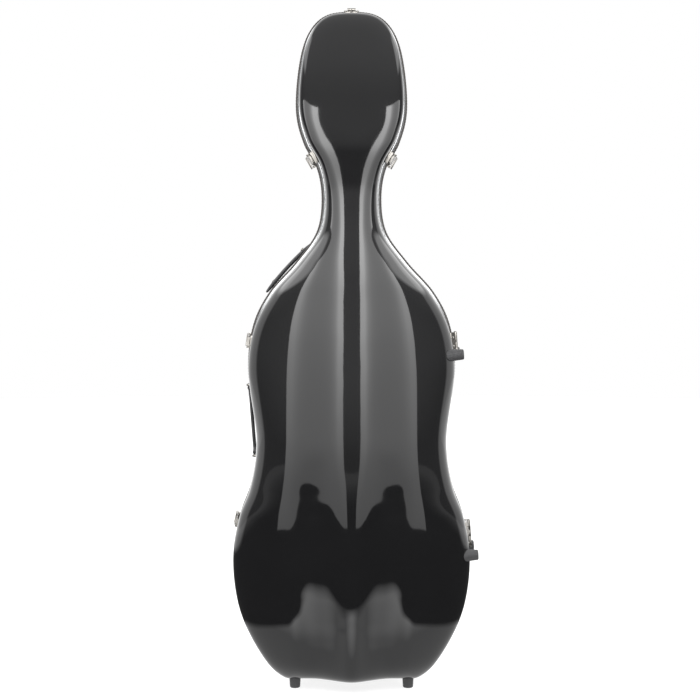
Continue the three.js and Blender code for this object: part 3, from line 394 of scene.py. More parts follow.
def lid_depth(x, z):
    """A cambered arch whose crown narrows to a ridge between two scoops toward the bottom."""
    crest = lid_crown(z)
    thigh = lerp(lid_thigh(z), crest, smoothstep(*THIGH_MERGE, z))
    flatness = smoothstep(FLAT_START, FLAT_FULL, z)
    camber = lerp(1 / CAMBER_RADIUS, 1 / FACE_CAMBER_RADIUS, flatness)
    depth = lerp(thigh, crest, bell(x / RIDGE_HALF_WIDTH)) - x * x * camber / 2
    if z < SCOOP_TOP:
        aside = math.hypot(x, SCOOP_CREST) - scoop_middle(z)
        share = aside / scoop_outer(z) if aside > 0 else -aside / scoop_inner(z)
        depth -= scoop_depth(z) * bell(share ** scoop_flatness(z))
    return depth


# Side of the seam, and depth, roundness and flare of each half
HALVES = {
    "lid": (-1, lid_depth, lid_round, lid_flare),
    "back": (1, lambda x, z: back_crown(z), lambda z: BACK_ROUND, lambda z: 0.0),
}


def spine_height(z):
    """Height on the shell's spine that a height on the outline runs in to."""
    low_end = 2 * SPINE_BOTTOM - FLOOR_HEIGHT
    high_end = 2 * SPINE_TOP - TOP_HEIGHT
    if z < low_end:
        share = (z - FLOOR_HEIGHT) / (low_end - FLOOR_HEIGHT)
        return SPINE_BOTTOM + (low_end - SPINE_BOTTOM) * share ** 2
    if z > high_end:
        share = (TOP_HEIGHT - z) / (TOP_HEIGHT - high_end)
        return SPINE_TOP - (SPINE_TOP - high_end) * share ** 2
    return z


def skin_point(half, station, inset, share):
    """Point on a shell's skin; share runs from 0 at the collar to 1 on the spine."""
    side, depth_at, roundness, flare = HALVES[half]
    x0, z0, nx, nz = station
    across = max(math.cos(share * math.pi / 2), 0.0)
    up = math.sin(share * math.pi / 2)
    power = 2 / roundness(z0)
    size = (across ** power + up ** power) ** (1 / power)
    inward = 1 - across / size
    outward = flare(z0) * math.sin(math.pi * math.sqrt(share)) - BAND_PROUD - inset
    x = (x0 + nx * outward) * (1 - inward)
    z = lerp(z0 + nz * outward, spine_height(z0), inward)
    depth = COLLAR_DEPTH + (depth_at(x, z) - inset - COLLAR_DEPTH) * up / size
    return in_frame(x, side * depth, z)


def wall_point(half, station, outward, depth):
    x, z, nx, nz = station
    off = outward - BAND_PROUD
    return in_frame(x + nx * off, HALVES[half][0] * depth, z + nz * off)


# Places on the case


def seat_at(x, depth, z, nx, nz):
    """Axes of a place in millimetres: x along the seam, y toward the back, z straight out."""
    turn = Matrix(((nz, 0, nx), (0, 1, 0), (-nx, 0, nz))).to_4x4()
    return Matrix.Translation(SHIFT) @ Matrix.Scale(MM, 4) @ Matrix.Translation((x, depth, z)) @ turn


def wall_spot(side, height, outward):
    """Place that stands off the shell wall at a height, with the way straight out of the wall."""
    x, z, nx, nz = next(station for station in FINE_STATIONS if station[1] <= height)
    off = outward - BAND_PROUD
    return side * (x + nx * off), z + nz * off, side * nx, nz


def wall_seat(side, height, depth=0):
    x, z, nx, nz = wall_spot(side, height, 0)
    return seat_at(x, depth, z, nx, nz)


def axis_seats(side, heights, outward, depth, shares):
    """Seats along the straight line through two places that stand off the wall."""
    ends = [Vector(wall_spot(side, height, outward)[:2]) for height in heights]
    up = (ends[1] - ends[0]).normalized()
    points = [ends[0].lerp(ends[1], share) for share in shares]
    return [seat_at(point.x, depth, point.y, side * up.y, -side * up.x) for point in points]


# Meshes


def object_of(name, mesh_maker, material, body, sharp=SHARP_ANGLE):
    """A piece of the case, on its body; edges that turn by more than the sharp angle stay crisp."""
    mesh = bpy.data.meshes.new(name)
    bm = bmesh.new()
    mesh_maker(bm)
    for face in bm.faces:
        face.smooth = True
    for edge in bm.edges:
        edge.smooth = edge.calc_face_angle(0) < math.radians(sharp)
    bm.to_mesh(mesh)
    bm.free()
    mesh.materials.append(material)
    piece = bpy.data.objects.new(name, mesh)
    bpy.context.scene.collection.objects.link(piece)
    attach(piece, body)
    return piece


def loft(bm, columns, rows, point_at):
    """Grid whose columns go round the outline and whose rows follow a section."""
    bmesh.ops.create_grid(bm, x_segments=columns, y_segments=rows, size=0.5)
    for vert in bm.verts:
        column = round((vert.co.x + 0.5) * columns)
        row = round((vert.co.y + 0.5) * rows)
        vert.co = point_at(column % columns, row)
    bmesh.ops.remove_doubles(bm, verts=bm.verts, dist=MERGE_DISTANCE)
    bmesh.ops.recalc_face_normals(bm, faces=bm.faces)


def lathe(bm, profile, seat, steps):
    """Turned shape; its profile runs from the seat's z axis out and back to it."""
    old = set(bm.verts)
    rim = [bm.verts.new((across, 0, up)) for across, up in profile]
    edges = [bm.edges.new(pair) for pair in zip(rim, rim[1:])]
    bmesh.ops.spin(bm, geom=rim + edges, cent=(0, 0, 0), axis=(0, 0, 1), angle=2 * math.pi, steps=steps,
                   use_merge=True)
    turned = [vert for vert in bm.verts if vert not in old]
    bmesh.ops.remove_doubles(bm, verts=turned, dist=LATHE_MERGE)
    turned = [vert for vert in bm.verts if vert not in old]
    bmesh.ops.recalc_face_normals(bm, faces=list({face for vert in turned for face in vert.link_faces}))
    bmesh.ops.transform(bm, matrix=seat, verts=turned)


def cord_round(bm, points, sides, radius):
    """Closed cord of even thickness through points that lie on a ring."""
    count = len(points)
    middle = sum(points, Vector()) / count
    table = []
    for spot, point in enumerate(points):
        along = (points[(spot + 1) % count] - points[spot - 1]).normalized()
        across = along.cross(point - middle).normalized()
        out = across.cross(along)
        turns = [2 * math.pi * side / sides for side in range(sides)]
        ways = [out * math.cos(turn) + across * math.sin(turn) for turn in turns]
        table.append([point + way * radius for way in ways])
    loft(bm, count, sides, lambda column, row: table[column][row % sides])


def skin_rows(half, inset, edge, courses):
    """Functions of a station, one for each row of a skin from its edge to the spine."""

    def skin_at(share):
        return lambda station: skin_point(half, station, inset, share)

    rim = [lambda station: wall_point(half, station, -inset, edge)]
    return rim + [skin_at(course / courses) for course in range(courses + 1)]


def shell_maker(half, outer, inner, edge, courses, inner_courses):
    """Closed shell between an outer and an inner skin, joined round its edge."""
    rows = skin_rows(half, outer, edge, courses)[::-1] + skin_rows(half, inner, edge, inner_courses)
    table = [[row(station) for station in STATIONS] for row in rows]
    return lambda bm: loft(bm, len(STATIONS), len(rows) - 1, lambda column, row: table[row][column])


def band_maker(half, section, stations, ribs=0.0):
    """Band round the case; where it stands proudest, every other station dips by the ribs' depth."""
    section = section + section[:1]
    proudest = max(outward for outward, _ in section)

    def row_of(outward, depth):
        dip = ribs if outward > proudest - RIB_RELIEF else 0.0
        outs = [outward - dip * (spot % 2) for spot in range(len(stations))]
        return [wall_point(half, station, out, depth) for station, out in zip(stations, outs)]

    table = [row_of(*point) for point in section]
    return lambda bm: loft(bm, len(stations), len(section) - 1, lambda column, row: table[row][column])


def node_form(bm, node_name):
    bm.from_mesh(nodes[node_name].data)
    bmesh.ops.remove_doubles(bm, verts=bm.verts, dist=MERGE_DISTANCE)


def fitting(title, node_name, material, rounding):
    """A node's own form with its edges rounded off; it stands for the node."""

    def form(bm):
        node_form(bm, node_name)
        bmesh.ops.dissolve_limit(bm, angle_limit=math.radians(FLAT_ANGLE), verts=bm.verts,
                                 edges=bm.edges)
        corners = [edge for edge in bm.edges if edge.calc_face_angle(0) > math.radians(CORNER_ANGLE)]
        bmesh.ops.bevel(bm, geom=corners, offset=rounding * MM, affect="EDGES", segments=2, profile=0.5,
                        material=-1, clamp_overlap=True)
        bmesh.ops.remove_doubles(bm, verts=bm.verts, dist=MERGE_DISTANCE)

    piece = object_of(title, form, material, nodes[node_name]["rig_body"])
    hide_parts(node_name)
    return piece


def moulding(title, node_name, material):
    """A node's own form with its bends made smooth; it stands for the node."""

    def form(bm):
        node_form(bm, node_name)
        bmesh.ops.join_triangles(bm, faces=bm.faces, angle_face_threshold=math.pi,
                                 angle_shape_threshold=math.pi)

    piece = object_of(title, form, material, nodes[node_name]["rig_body"], sharp=ALL_SMOOTH)
    smooth = piece.modifiers.new("smooth", "SUBSURF")
    smooth.levels = smooth.render_levels = 2
    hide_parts(node_name)
    return piece


def heads(title, body, seat, spots, profile, sides):
    """Turned heads of one profile on a plate, all in one piece."""

    def form(bm):
        for spot in spots:
            lathe(bm, profile, seat @ Matrix.Translation(spot), sides)

    object_of(title, form, NICKEL, body)


def rivets(title, body, seat, spots, head):
    """Domed rivet heads."""
    radius, rise = head
    dome = [(radius * across, rise * up) for across, up in DOME_SHARES]
    dome += [(radius, DOME_LIP), (radius, -HEAD_UNDER), (0, -HEAD_UNDER)]
    heads(title, body, seat, spots, dome, RIVET_SIDES)


def screws(title, body, seat, spots, head):
    """Screw heads with a round socket."""
    radius, rise, socket = head
    floor = rise - SOCKET_DEPTH
    across, up = SHOULDER_SHARE
    rim = [
        (0, floor), (socket, floor), (socket, rise), (radius * across, rise), (radius, rise * up),
        (radius, -HEAD_UNDER), (0, -HEAD_UNDER),
    ]
    heads(title, body, seat, spots, rim, SCREW_SIDES)


# Materials


class Link:
    """A socket that takes part in sums and products, which add their Math nodes."""

    def __init__(self, tree, socket):
        self.tree = tree
        self.socket = socket

    def _math(self, operation, *values):
        return self.tree.node("ShaderNodeMath", {"operation": operation}, values)

    def __add__(self, other):
        return self._math("ADD", self, other)

    def __radd__(self, other):
        return self._math("ADD", other, self)

    def __mul__(self, other):
        return self._math("MULTIPLY", self, other)


class Tree:
    """A node tree whose nodes are made one at a time."""

    def __init__(self, node_tree):
        self.tree = node_tree

    def node(self, kind, settings=None, values=(), output=0):
        made = self.tree.nodes.new(kind)
        for key, value in (settings or {}).items():
            setattr(made, key, value)
        pairs = values.items() if isinstance(values, dict) else enumerate(values)
        for key, value in pairs:
            self.put(made.inputs[key], value)
        return Link(self, made.outputs[output])

    def put(self, socket, value):
        if isinstance(value, Link):
            self.tree.links.new(value.socket, socket)
        else:
            socket.default_value = value

    def parts(self, vector):
        """The x, y and z of a vector."""
        split = self.node("ShaderNodeSeparateXYZ", values=[vector])
        return [Link(self, socket) for socket in split.socket.node.outputs]

    def ramp(self, value, low, high, start=0.0, end=1.0):
        return self.node("ShaderNodeMapRange", values={
            "Value": value, "From Min": low, "From Max": high, "To Min": start, "To Max": end})


class Shader(Tree):
    """A material with a Principled surface and patterns in the object's own place."""

    def __init__(self, name):
        self.material = bpy.data.materials.new(name)
        self.material.use_nodes = True
        super().__init__(self.material.node_tree)
        self.surface = self.tree.nodes["Principled BSDF"]
        self.output = self.tree.nodes["Material Output"]

    def set(self, **values):
        for key, value in values.items():
            self.put(self.surface.inputs[key.replace("_", " ")], value)
        return self.material

    def place(self, stretch=(1, 1, 1)):
        spot = self.node("ShaderNodeTexCoord", output="Object")
        return self.node("ShaderNodeMapping", values={"Vector": spot, "Scale": stretch})

    def noise(self, per_metre, detail=2, stretch=(1, 1, 1)):
        return self.node("ShaderNodeTexNoise", values={
            "Vector": self.place(stretch), "Scale": per_metre, "Detail": detail})

    def cells(self, per_metre):
        return self.node("ShaderNodeTexVoronoi", values={"Vector": self.place(), "Scale": per_metre})

    def waves(self, per_metre, direction):
        """Even waves across a direction, with each crest at 1."""
        settings = {"wave_type": "BANDS", "bands_direction": direction}
        return self.node("ShaderNodeTexWave", settings, {
            "Vector": self.place(), "Scale": per_metre * math.pi / 10}, output="Fac")

    def blend(self, first, second, share):
        colours = {0: share, 6: (*first, 1), 7: (*second, 1)}
        return self.node("ShaderNodeMix", {"data_type": "RGBA"}, colours, 2)

    def bump(self, height):
        """Surface raised by a height in metres."""
        return self.node("ShaderNodeBump", values={"Height": height, "Strength": 1.0, "Distance": 1.0})


def lacquer_black():
    shader = Shader("lacquer_black")
    haze = shader.noise(7, 3)
    smears = shader.noise(60, 2, (1, 1, 0.35))
    height = shader.noise(16, 1) * 1.6e-4 + shader.noise(90, 1) * 6e-6
    return shader.set(
        Base_Color=shader.blend((0.0035, 0.0035, 0.0038), (0.006, 0.006, 0.0064), haze),
        Roughness=0.028 + haze * 0.01 + smears * 0.012, IOR=1.5, Normal=shader.bump(height))


def metal(name, dark, bright, roughness, per_metre, stretch):
    """Metal with fine scratches that run one way, and duller where it is handled."""
    shader = Shader(name)
    scratches = shader.noise(per_metre, 3, stretch)
    wear = shader.noise(45, 2)
    return shader.set(
        Base_Color=shader.blend(dark, bright, wear * 0.6 + scratches * 0.4), Metallic=1.0,
        Roughness=roughness + wear * 0.12 + scratches * 0.08, Normal=shader.bump(scratches * 1.5e-5))


def rubber(name, dark, pale, roughness, grain_per_metre, grain_height):
    """Moulded rubber: a pebbled grain, with pale scuffs here and there."""
    shader = Shader(name)
    grain = shader.cells(grain_per_metre)
    scuffs = shader.noise(35, 4)
    return shader.set(
        Base_Color=shader.blend(dark, pale, scuffs * 0.7 + grain * 0.3), Specular_IOR_Level=0.4,
        Roughness=roughness + scuffs * 0.15, Normal=shader.bump(grain * grain_height + scuffs * 2e-5))


def plush_grey():
    shader = Shader("plush_grey")
    pile = shader.noise(2600, 2)
    crushed = shader.noise(24, 3, (1, 1, 0.6))
    return shader.set(
        Base_Color=shader.blend(
            (0.012, 0.013, 0.017), (0.045, 0.047, 0.056), crushed * 0.65 + pile * 0.35),
        Sheen_Weight=0.5, Sheen_Roughness=0.4, Sheen_Tint=(0.6, 0.62, 0.68, 1), Specular_IOR_Level=0.1,
        Roughness=0.85 + pile * 0.15, Normal=shader.bump(pile * 3e-4 + crushed * 5e-4))


def webbing_black():
    shader = Shader("webbing_black")
    weave = shader.waves(700, "X") * shader.waves(500, "Z")
    fuzz = shader.noise(900, 2)
    return shader.set(
        Base_Color=shader.blend((0.006, 0.006, 0.007), (0.035, 0.035, 0.038), weave * 0.8 + fuzz * 0.2),
        Specular_IOR_Level=0.25, Roughness=0.65 + weave * 0.2, Normal=shader.bump(weave * 2.5e-4))


def twisted_cord():
    shader = Shader("twisted_cord")
    twist = shader.node("ShaderNodeTexWave", {"wave_type": "BANDS", "bands_direction": "DIAGONAL"}, {
        "Vector": shader.place(), "Scale": 130.0, "Distortion": 0.6}, output="Fac")
    return shader.set(
        Base_Color=shader.blend((0.01, 0.01, 0.013), (0.06, 0.062, 0.07), twist),
        Specular_IOR_Level=0.3, Roughness=0.55 + twist * 0.25, Normal=shader.bump(twist * 2.5e-4))


LACQUER = lacquer_black()
BEAD = metal("bead_metal", (0.34, 0.345, 0.35), (0.54, 0.545, 0.55), 0.16, 600, (1, 1, 1))
NICKEL = metal("nickel", (0.2, 0.19, 0.175), (0.4, 0.385, 0.36), 0.14, 500, (1, 0.08, 1))
BAND = rubber("band_rubber", (0.022, 0.019, 0.017), (0.05, 0.044, 0.04), 0.36, 1500, 6e-5)
RUBBER = rubber("foot_rubber", (0.02, 0.02, 0.021), (0.05, 0.05, 0.052), 0.5, 1100, 1e-4)
PLASTIC = rubber("button_plastic", (0.012, 0.012, 0.013), (0.024, 0.024, 0.025), 0.3, 2200, 3e-5)
PLUSH = plush_grey()
WEBBING = webbing_black()
CORD = twisted_cord()

# Shells, linings and bands


def piping(title, points, radius, body):
    """Twisted cord over a sewn edge."""
    object_of(title, lambda bm: cord_round(bm, points, PIPING_SIDES, radius * MM), CORD, body)


def make_shells():
    for half, body, edge in (("lid", "lid", LID_EDGE), ("back", "back_case", BACK_EDGE)):
        courses = LINING_COURSES[half]
        skin = shell_maker(half, 0, WALL, edge, SKIN_COURSES[half], courses // 2)
        shell = object_of(f"{half}_shell_skin", skin, LACQUER, body)
        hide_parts(f"{half}_shell")
        outer = WALL + GAP
        plush = shell_maker(half, outer, outer + LINING_THICKNESS, RIM_DEPTH, courses, courses)
        lining = object_of(f"{half}_plush", plush, PLUSH, body)
        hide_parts(f"{half}_lining")
        inset = outer + LINING_THICKNESS / 2
        rim = [wall_point(half, station, -inset, RIM_DEPTH) for station in STATIONS]
        piping(f"{half}_rim_piping", rim, PIPING_RADIUS, body)


def make_bands():
    flange = LID_EDGE - GAP
    lip = GAP + LIP_THICKNESS
    lid_band = object_of("lid_bead_band", band_maker("lid", [
        (-WALL, SEAM_GAP), *BEAD_FACE, (lip, LIP_DEPTHS[0]), (lip, LIP_DEPTHS[1]),
        (GAP + LIP_EDGE, LID_BAND_DEPTH), (GAP, LID_BAND_DEPTH), (GAP, flange), (-WALL, flange),
    ], STATIONS), BEAD, "lid")
    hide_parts("lid_edge_band")
    flange = BACK_EDGE - GAP
    seat = flange - FLANGE_THICKNESS
    seal_out = SEAL_WIDTH - WALL
    back_band = object_of("back_ribbed_band", band_maker("back", [
        (-WALL, flange), (-WALL, seat), (seal_out + GAP, seat), (seal_out + GAP, SEAM_GAP),
        *RIBBED_FACE, (GAP, BAND_DEPTH), (GAP, flange),
    ], outline_stations(RIB_STATIONS), RIB_DEPTH), BAND, "back_case")
    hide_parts("back_edge_band")
    seal_foot = seat - GAP
    seal = object_of("seam_seal_bulb", band_maker("back", [
        (-WALL, seal_foot), (-WALL, SEAL_SHOULDER), *SEAL_CROWN, (seal_out, SEAL_SHOULDER),
        (seal_out, seal_foot),
    ], STATIONS), RUBBER, "back_case")
    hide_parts("seam_seal")


# Latches, hinges, feet, handles and rings


def make_latches():
    for name, (side, height) in LATCHES.items():
        for part in ("plate", "strike", "lever", "claw"):
            node_name = f"latch_{part}_{name}"
            fitting(f"{node_name}_nickel", node_name, NICKEL, LATCH_ROUNDING)
        seat = wall_seat(side, height)
        face = PLATE_THICKNESS + GAP
        spots = [(*spot, face) for spot in LATCH_RIVETS]
        rivets(f"latch_plate_rivets_{name}", "back_case", seat, spots, LATCH_RIVET_HEAD)
        face = min(face + lid_flare(height), STRIKE_TOP)
        spots = [(*spot, face) for spot in STRIKE_RIVETS]
        rivets(f"latch_strike_rivets_{name}", "lid", seat, spots, LATCH_RIVET_HEAD)


def make_hinges():
    seats = axis_seats(1, list(HINGE_HEIGHTS.values()), HINGE_OUT, 0, [0, 1])
    for (name, height), seat in zip(HINGE_HEIGHTS.items(), seats):
        for part in ("back_leaf", "lid_leaf", "pin"):
            node_name = f"hinge_{part}_{name}"
            fitting(f"{node_name}_nickel", node_name, NICKEL, HINGE_ROUNDING)
        face = PLATE_THICKNESS + GAP - HINGE_OUT
        spots = [(x, HINGE_RIVET_DEPTH, face) for x in HINGE_RIVETS]
        rivets(f"hinge_back_rivets_{name}", "back_case", seat, spots, HINGE_RIVET_HEAD)
        face += lid_flare(height)
        spots = [(x, -HINGE_RIVET_DEPTH, face) for x in HINGE_RIVETS]
        rivets(f"hinge_lid_rivets_{name}", "lid", seat, spots, HINGE_RIVET_HEAD)


def make_foot(name, body, seat, tip):
    """Rubber foot whose tip stands this far out of its seat, with the screw that holds it."""
    root = FOOT_PROFILE[:-FOOT_TIP_POINTS]
    profile = root + [(across, tip + up) for across, up in FOOT_PROFILE[-FOOT_TIP_POINTS:]]
    foot = object_of(f"{name}_rubber", lambda bm: lathe(bm, profile, seat, FOOT_SIDES), RUBBER, body)
    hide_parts(name)
    screws(f"{name}_screw", body, seat, [(0, 0, tip - FOOT_SCREW_SINK)], FOOT_SCREW_HEAD)


def make_feet():
    ground = FLOOR_HEIGHT + BAND_PROUD
    for half, body, depth in (("lid", "lid", -1), ("back", "back_case", 1)):
        for name, side in (("left", -1), ("right", 1)):
            seat = seat_at(side * BOTTOM_FOOT_X, BOTTOM_FOOT_DEPTHS[half], ground, 0, -1)
            make_foot(f"{half}_bottom_foot_{name}", body, seat, ground)
        for name, height in SIDE_FEET.items():
            seat = wall_seat(1, height, depth * SIDE_FOOT_DEPTH)
            make_foot(f"{half}_side_foot_{name}", body, seat, SIDE_FOOT_OUT)


def make_handles():
    moulding("shoulder_grip_rubber", "shoulder_grip", RUBBER)
    seat = wall_seat(-1, SHOULDER_HANDLE_HEIGHT, HANDLE_DEPTH)
    spots = [(x, 0, SHOULDER_SCREW_RISE) for x in SHOULDER_POSTS]
    screws("shoulder_grip_screws", "back_case", seat, spots, GRIP_SCREW_HEAD)
    moulding("side_handle_grip_rubber", "side_handle_grip", RUBBER)
    roundings = {"shoulder_grip_post": HOLDER_ROUNDING, "side_handle_bracket": BRACKET_ROUNDING}
    for name in ("upper", "lower"):
        for part, rounding in roundings.items():
            fitting(f"{part}_{name}_nickel", f"{part}_{name}", NICKEL, rounding)
    ends = axis_seats(-1, SIDE_HANDLE_HEIGHTS, SIDE_HANDLE_OUT, HANDLE_DEPTH, [0, 1])
    for name, side, seat in zip(("lower", "upper"), (-1, 1), ends):
        face = PLATE_THICKNESS - SIDE_HANDLE_OUT
        spots = [(side * HANDLE_RIVET_OFFSET, way * HANDLE_RIVET_OFFSET, face) for way in (-1, 1)]
        rivets(f"side_handle_rivets_{name}", "back_case", seat, spots, HANDLE_RIVET_HEAD)


def make_rings():
    for name, side in (("left", -1), ("right", 1)):
        node_name = f"strap_ring_holder_{name}"
        fitting(f"{node_name}_nickel", node_name, NICKEL, HOLDER_ROUNDING)
        moulding(f"strap_ring_{name}_wire", f"strap_ring_{name}", NICKEL)
        spots = [(x, y, PLATE_THICKNESS + GAP) for x, y in RING_RIVETS]
        seat = wall_seat(side, RING_HEIGHT, RING_DEPTH)
        rivets(f"strap_ring_rivets_{name}", "back_case", seat, spots, RING_RIVET_HEAD)


# Padding, strap and bow holders


def baked(piece):
    """The piece's mesh as its modifiers leave it."""
    found = piece.evaluated_get(bpy.context.evaluated_depsgraph_get())
    mesh = bpy.data.meshes.new_from_object(found)
    piece.modifiers.clear()
    piece.data = mesh
    return mesh


def padding(node_name, kind, seam_depth=None):
    """Covered foam in a node's place, puffed up and held in along its seam."""
    slack, voxel, swell, fill = PADDINGS[kind]

    def form(bm):
        node_form(bm, node_name)
        bmesh.ops.recalc_face_normals(bm, faces=bm.faces)
        bm.normal_update()
        moves = [(vert, vert.normal * slack * MM) for vert in bm.verts]
        for vert, move in moves:
            vert.co -= move

    piece = object_of(f"{node_name}_plush", form, PLUSH, nodes[node_name]["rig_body"],
                      sharp=ALL_SMOOTH)
    remesh = piece.modifiers.new("remesh", "REMESH")
    remesh.mode = "VOXEL"
    remesh.voxel_size = voxel * MM
    remesh.use_smooth_shade = True
    start = [vert.co.copy() for vert in baked(piece).vertices]
    cloth = piece.modifiers.new("puff", "CLOTH")
    cloth.settings.use_pressure = True
    cloth.settings.uniform_pressure_force = PUFF_PRESSURE
    cloth.settings.effector_weights.gravity = 0
    cloth.point_cache.frame_end = PUFF_FRAMES
    for step in range(1, PUFF_FRAMES + 1):
        bpy.context.scene.frame_set(step)
    for vert, before in zip(baked(piece).vertices, start):
        move = vert.co - before
        reach = swell * MM
        if seam_depth is not None:
            reach *= smoothstep(0, SEAM_FADE * MM, abs(before.y - seam_depth))
        vert.co = before + (move * min(1.0, reach / move.length) if move.length > 0 else move)
    bpy.context.scene.frame_set(1)
    smooth = piece.modifiers.new("smooth", "SUBSURF")
    smooth.levels = smooth.render_levels = 1
    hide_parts(node_name)
    return piece


def rounded_line(half_width, half_length, corner, corner_steps, side_steps):
    """Points round a rectangle with rounded corners."""

    def run(start, end):
        return [start.lerp(end, step / side_steps) for step in range(1, side_steps)]

    points = []
    for turn, (x, z) in enumerate(((1, 1), (-1, 1), (-1, -1), (1, -1))):
        middle = Vector((x * (half_width - corner), z * (half_length - corner)))
        arc = [math.pi / 2 * (turn + step / corner_steps) for step in range(corner_steps + 1)]
        corner_points = [middle + Vector((math.cos(angle), math.sin(angle))) * corner for angle in arc]
        if points:
            points += run(points[-1], corner_points[0])
        points += corner_points
    return points + run(points[-1], points[0])


def make_pads():
    outline = rounded_line(PAD_WIDTH / 2, PAD_LENGTH / 2, PAD_CORNER, PAD_CORNER_STEPS,
                           PAD_SIDE_STEPS)
    for name, height in PAD_HEIGHTS.items():
        under = back_crown(height) - WALL - GAP - LINING_THICKNESS
        depth = under - PAD_THICKNESS * (1 - PAD_SEAM_SHARE)
        padding(f"back_pad_{name}", "back_pad", in_frame(0, depth, height).y)
        points = [in_frame(point.x, depth, height + point.y) for point in outline]
        piping(f"back_pad_welt_{name}", points, WELT_RADIUS, "back_case")
    padding("neck_cradle", "neck_cradle")
    padding("end_pin_block", "end_pin_block")


def strap_line(x):
    """Depth of the strap's face: flat on the cradle, bowed up over its notch."""
    share = (x + STRAP_HALF_NOTCH) / (2 * STRAP_HALF_NOTCH)
    return STRAP_FACE - (4 * STRAP_RISE * share * (1 - share) if 0 < share < 1 else 0)


def make_neck_strap():
    """Flat webbing with rounded selvedges, and a closing tab on top of it."""

    def ribbon(half_length, half_width, thickness, lift):
        flat = half_width - SELVEDGE_WIDTH
        low, high = SELVEDGE_RISE, thickness - SELVEDGE_RISE
        section = [
            (-half_width, low), (-flat, 0), (flat, 0), (half_width, low),
            (half_width, high), (flat, thickness), (-flat, thickness), (-half_width, high),
        ]

        def form(bm):
            bmesh.ops.create_grid(bm, x_segments=STRAP_STEPS, y_segments=len(section), size=0.5)
            for vert in bm.verts:
                x = lerp(-half_length, half_length, vert.co.x + 0.5)
                across, up = section[round((vert.co.y + 0.5) * len(section)) % len(section)]
                vert.co = in_frame(x, strap_line(x) - lift - up, STRAP_HEIGHT + across)
            bmesh.ops.remove_doubles(bm, verts=bm.verts, dist=MERGE_DISTANCE)
            bmesh.ops.holes_fill(bm, edges=bm.edges, sides=0)
            bmesh.ops.recalc_face_normals(bm, faces=bm.faces)

        return form

    body = nodes["neck_strap"]["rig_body"]
    full = ribbon(STRAP_HALF_LENGTH, STRAP_HALF_WIDTH, STRAP_THICKNESS, 0)
    strap = object_of("neck_strap_webbing", full, WEBBING, body)
    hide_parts("neck_strap")
    tab = ribbon(STRAP_HALF_NOTCH, STRAP_HALF_WIDTH - TAB_INSET, TAB_THICKNESS,
                 STRAP_THICKNESS + TAB_GAP)
    object_of("neck_strap_tab", tab, WEBBING, body)


def make_bow_holders():
    padding("bow_frog_block", "bow_frog_block")
    padding("bow_tip_block", "bow_tip_block")
    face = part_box("bow_turn_button_left")[1].y
    for name, side in (("left", -1), ("right", 1)):
        button = f"bow_turn_button_{name}"
        fitting(f"{button}_plastic", button, PLASTIC, BUTTON_ROUNDING)
        place = (SHIFT.x + side * BUTTON_MIDDLE * MM, face, SHIFT.z + BUTTON_HEIGHT * MM)
        seat = Matrix.Translation(place) @ Matrix.Scale(MM, 4) @ Matrix.Rotation(-math.pi / 2, 4, "X")
        screws(f"{button}_screw", nodes[button]["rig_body"], seat, [(0, 0, 0)], BUTTON_SCREW_HEAD)


# Camera, floor and light

# Camera: distances in metres, places in the picture in pixels, and metres to a pixel at the seam
PHOTO_SIZE = 700
CAMERA_DISTANCE = 3.1
CAMERA_HEIGHT = 0.8
AIM_HEIGHT = 0.668
MIDDLE_PIXEL = 351.5
PIXEL = 0.001985
SENSOR = 36.0

# Studio: distances in metres, angles in degrees from the way to the camera, radiances with 1 as white
PANEL_AZIMUTHS = (5.2, 48)
PANEL_DISTANCE = 1.62
PANEL_BOTTOM = 0.002
PANEL_TOP = 1.54
PANEL_ACROSS = [(0, 1.0), (0.5, 1.0), (1, 1.05)]
PANEL_UP = [(0, 1.5), (0.16, 1.8), (0.35, 2.1), (0.5, 2.3), (0.62, 2.6), (0.72, 3.1), (1, 3.6)]
EDGES_ACROSS = [
    (0, 1), (0.06, 1), (0.1, 0.7), (0.16, 0.27), (0.26, 0.05), (0.45, 0), (0.65, 0.05), (0.8, 0.3),
    (0.92, 0.5), (1, 0.3),
]
EDGES_UP = [(0, 0), (0.16, 0.1), (0.36, 0.9), (0.5, 1.8), (0.62, 2.9), (0.7, 4.0), (1, 6.5)]
NEAR_REACH = (0.45, 0.51)
NEAR_OVAL = (1.1, 1, 1)
NEAR_LIGHT = 1.0
NEAR_AHEAD = (-0.24, -0.46)
NEAR_GLOW = 1.6
FAR_REACH = (1.9, 2.6)
FAR_AHEAD = (-0.1, 0.4)
FAR_LIGHT = 1.1
FRONT_REACH = (2.5, 5)
FRONT_LIGHT = 0.45
DARK_FLOOR = 0.1
DARK_ROOM = 0.24
DARK_RISE = 0.17
DARK_LIFT = 0.12
DARK_FRONT = 0.3
WHITE_ROOM = 1.1
HIGH_RISE = (0.3, 1.0)
HIGH_LIGHT = 1.0
WHITE_AHEAD = (0.0, 0.1)
STRIP_LIGHT = 3.2
STRIP_RISE = (0.42, 0.48, 0.66, 0.72)
STRIP_SIDE = (0.55, 0.65)
FLOOR_RADIUS = 8
FLOOR_SIDES = 96
FLOOR_DROP = 0.0005
FLOOR_PALE = 0.35
FLOOR_GLOW = 0.8
FILL_ENERGY = 30
FILL_SIZE = (3.0, 1.5)
FILL_PLACE = (0, -2.2, 3.4)
FILL_TILT = 38


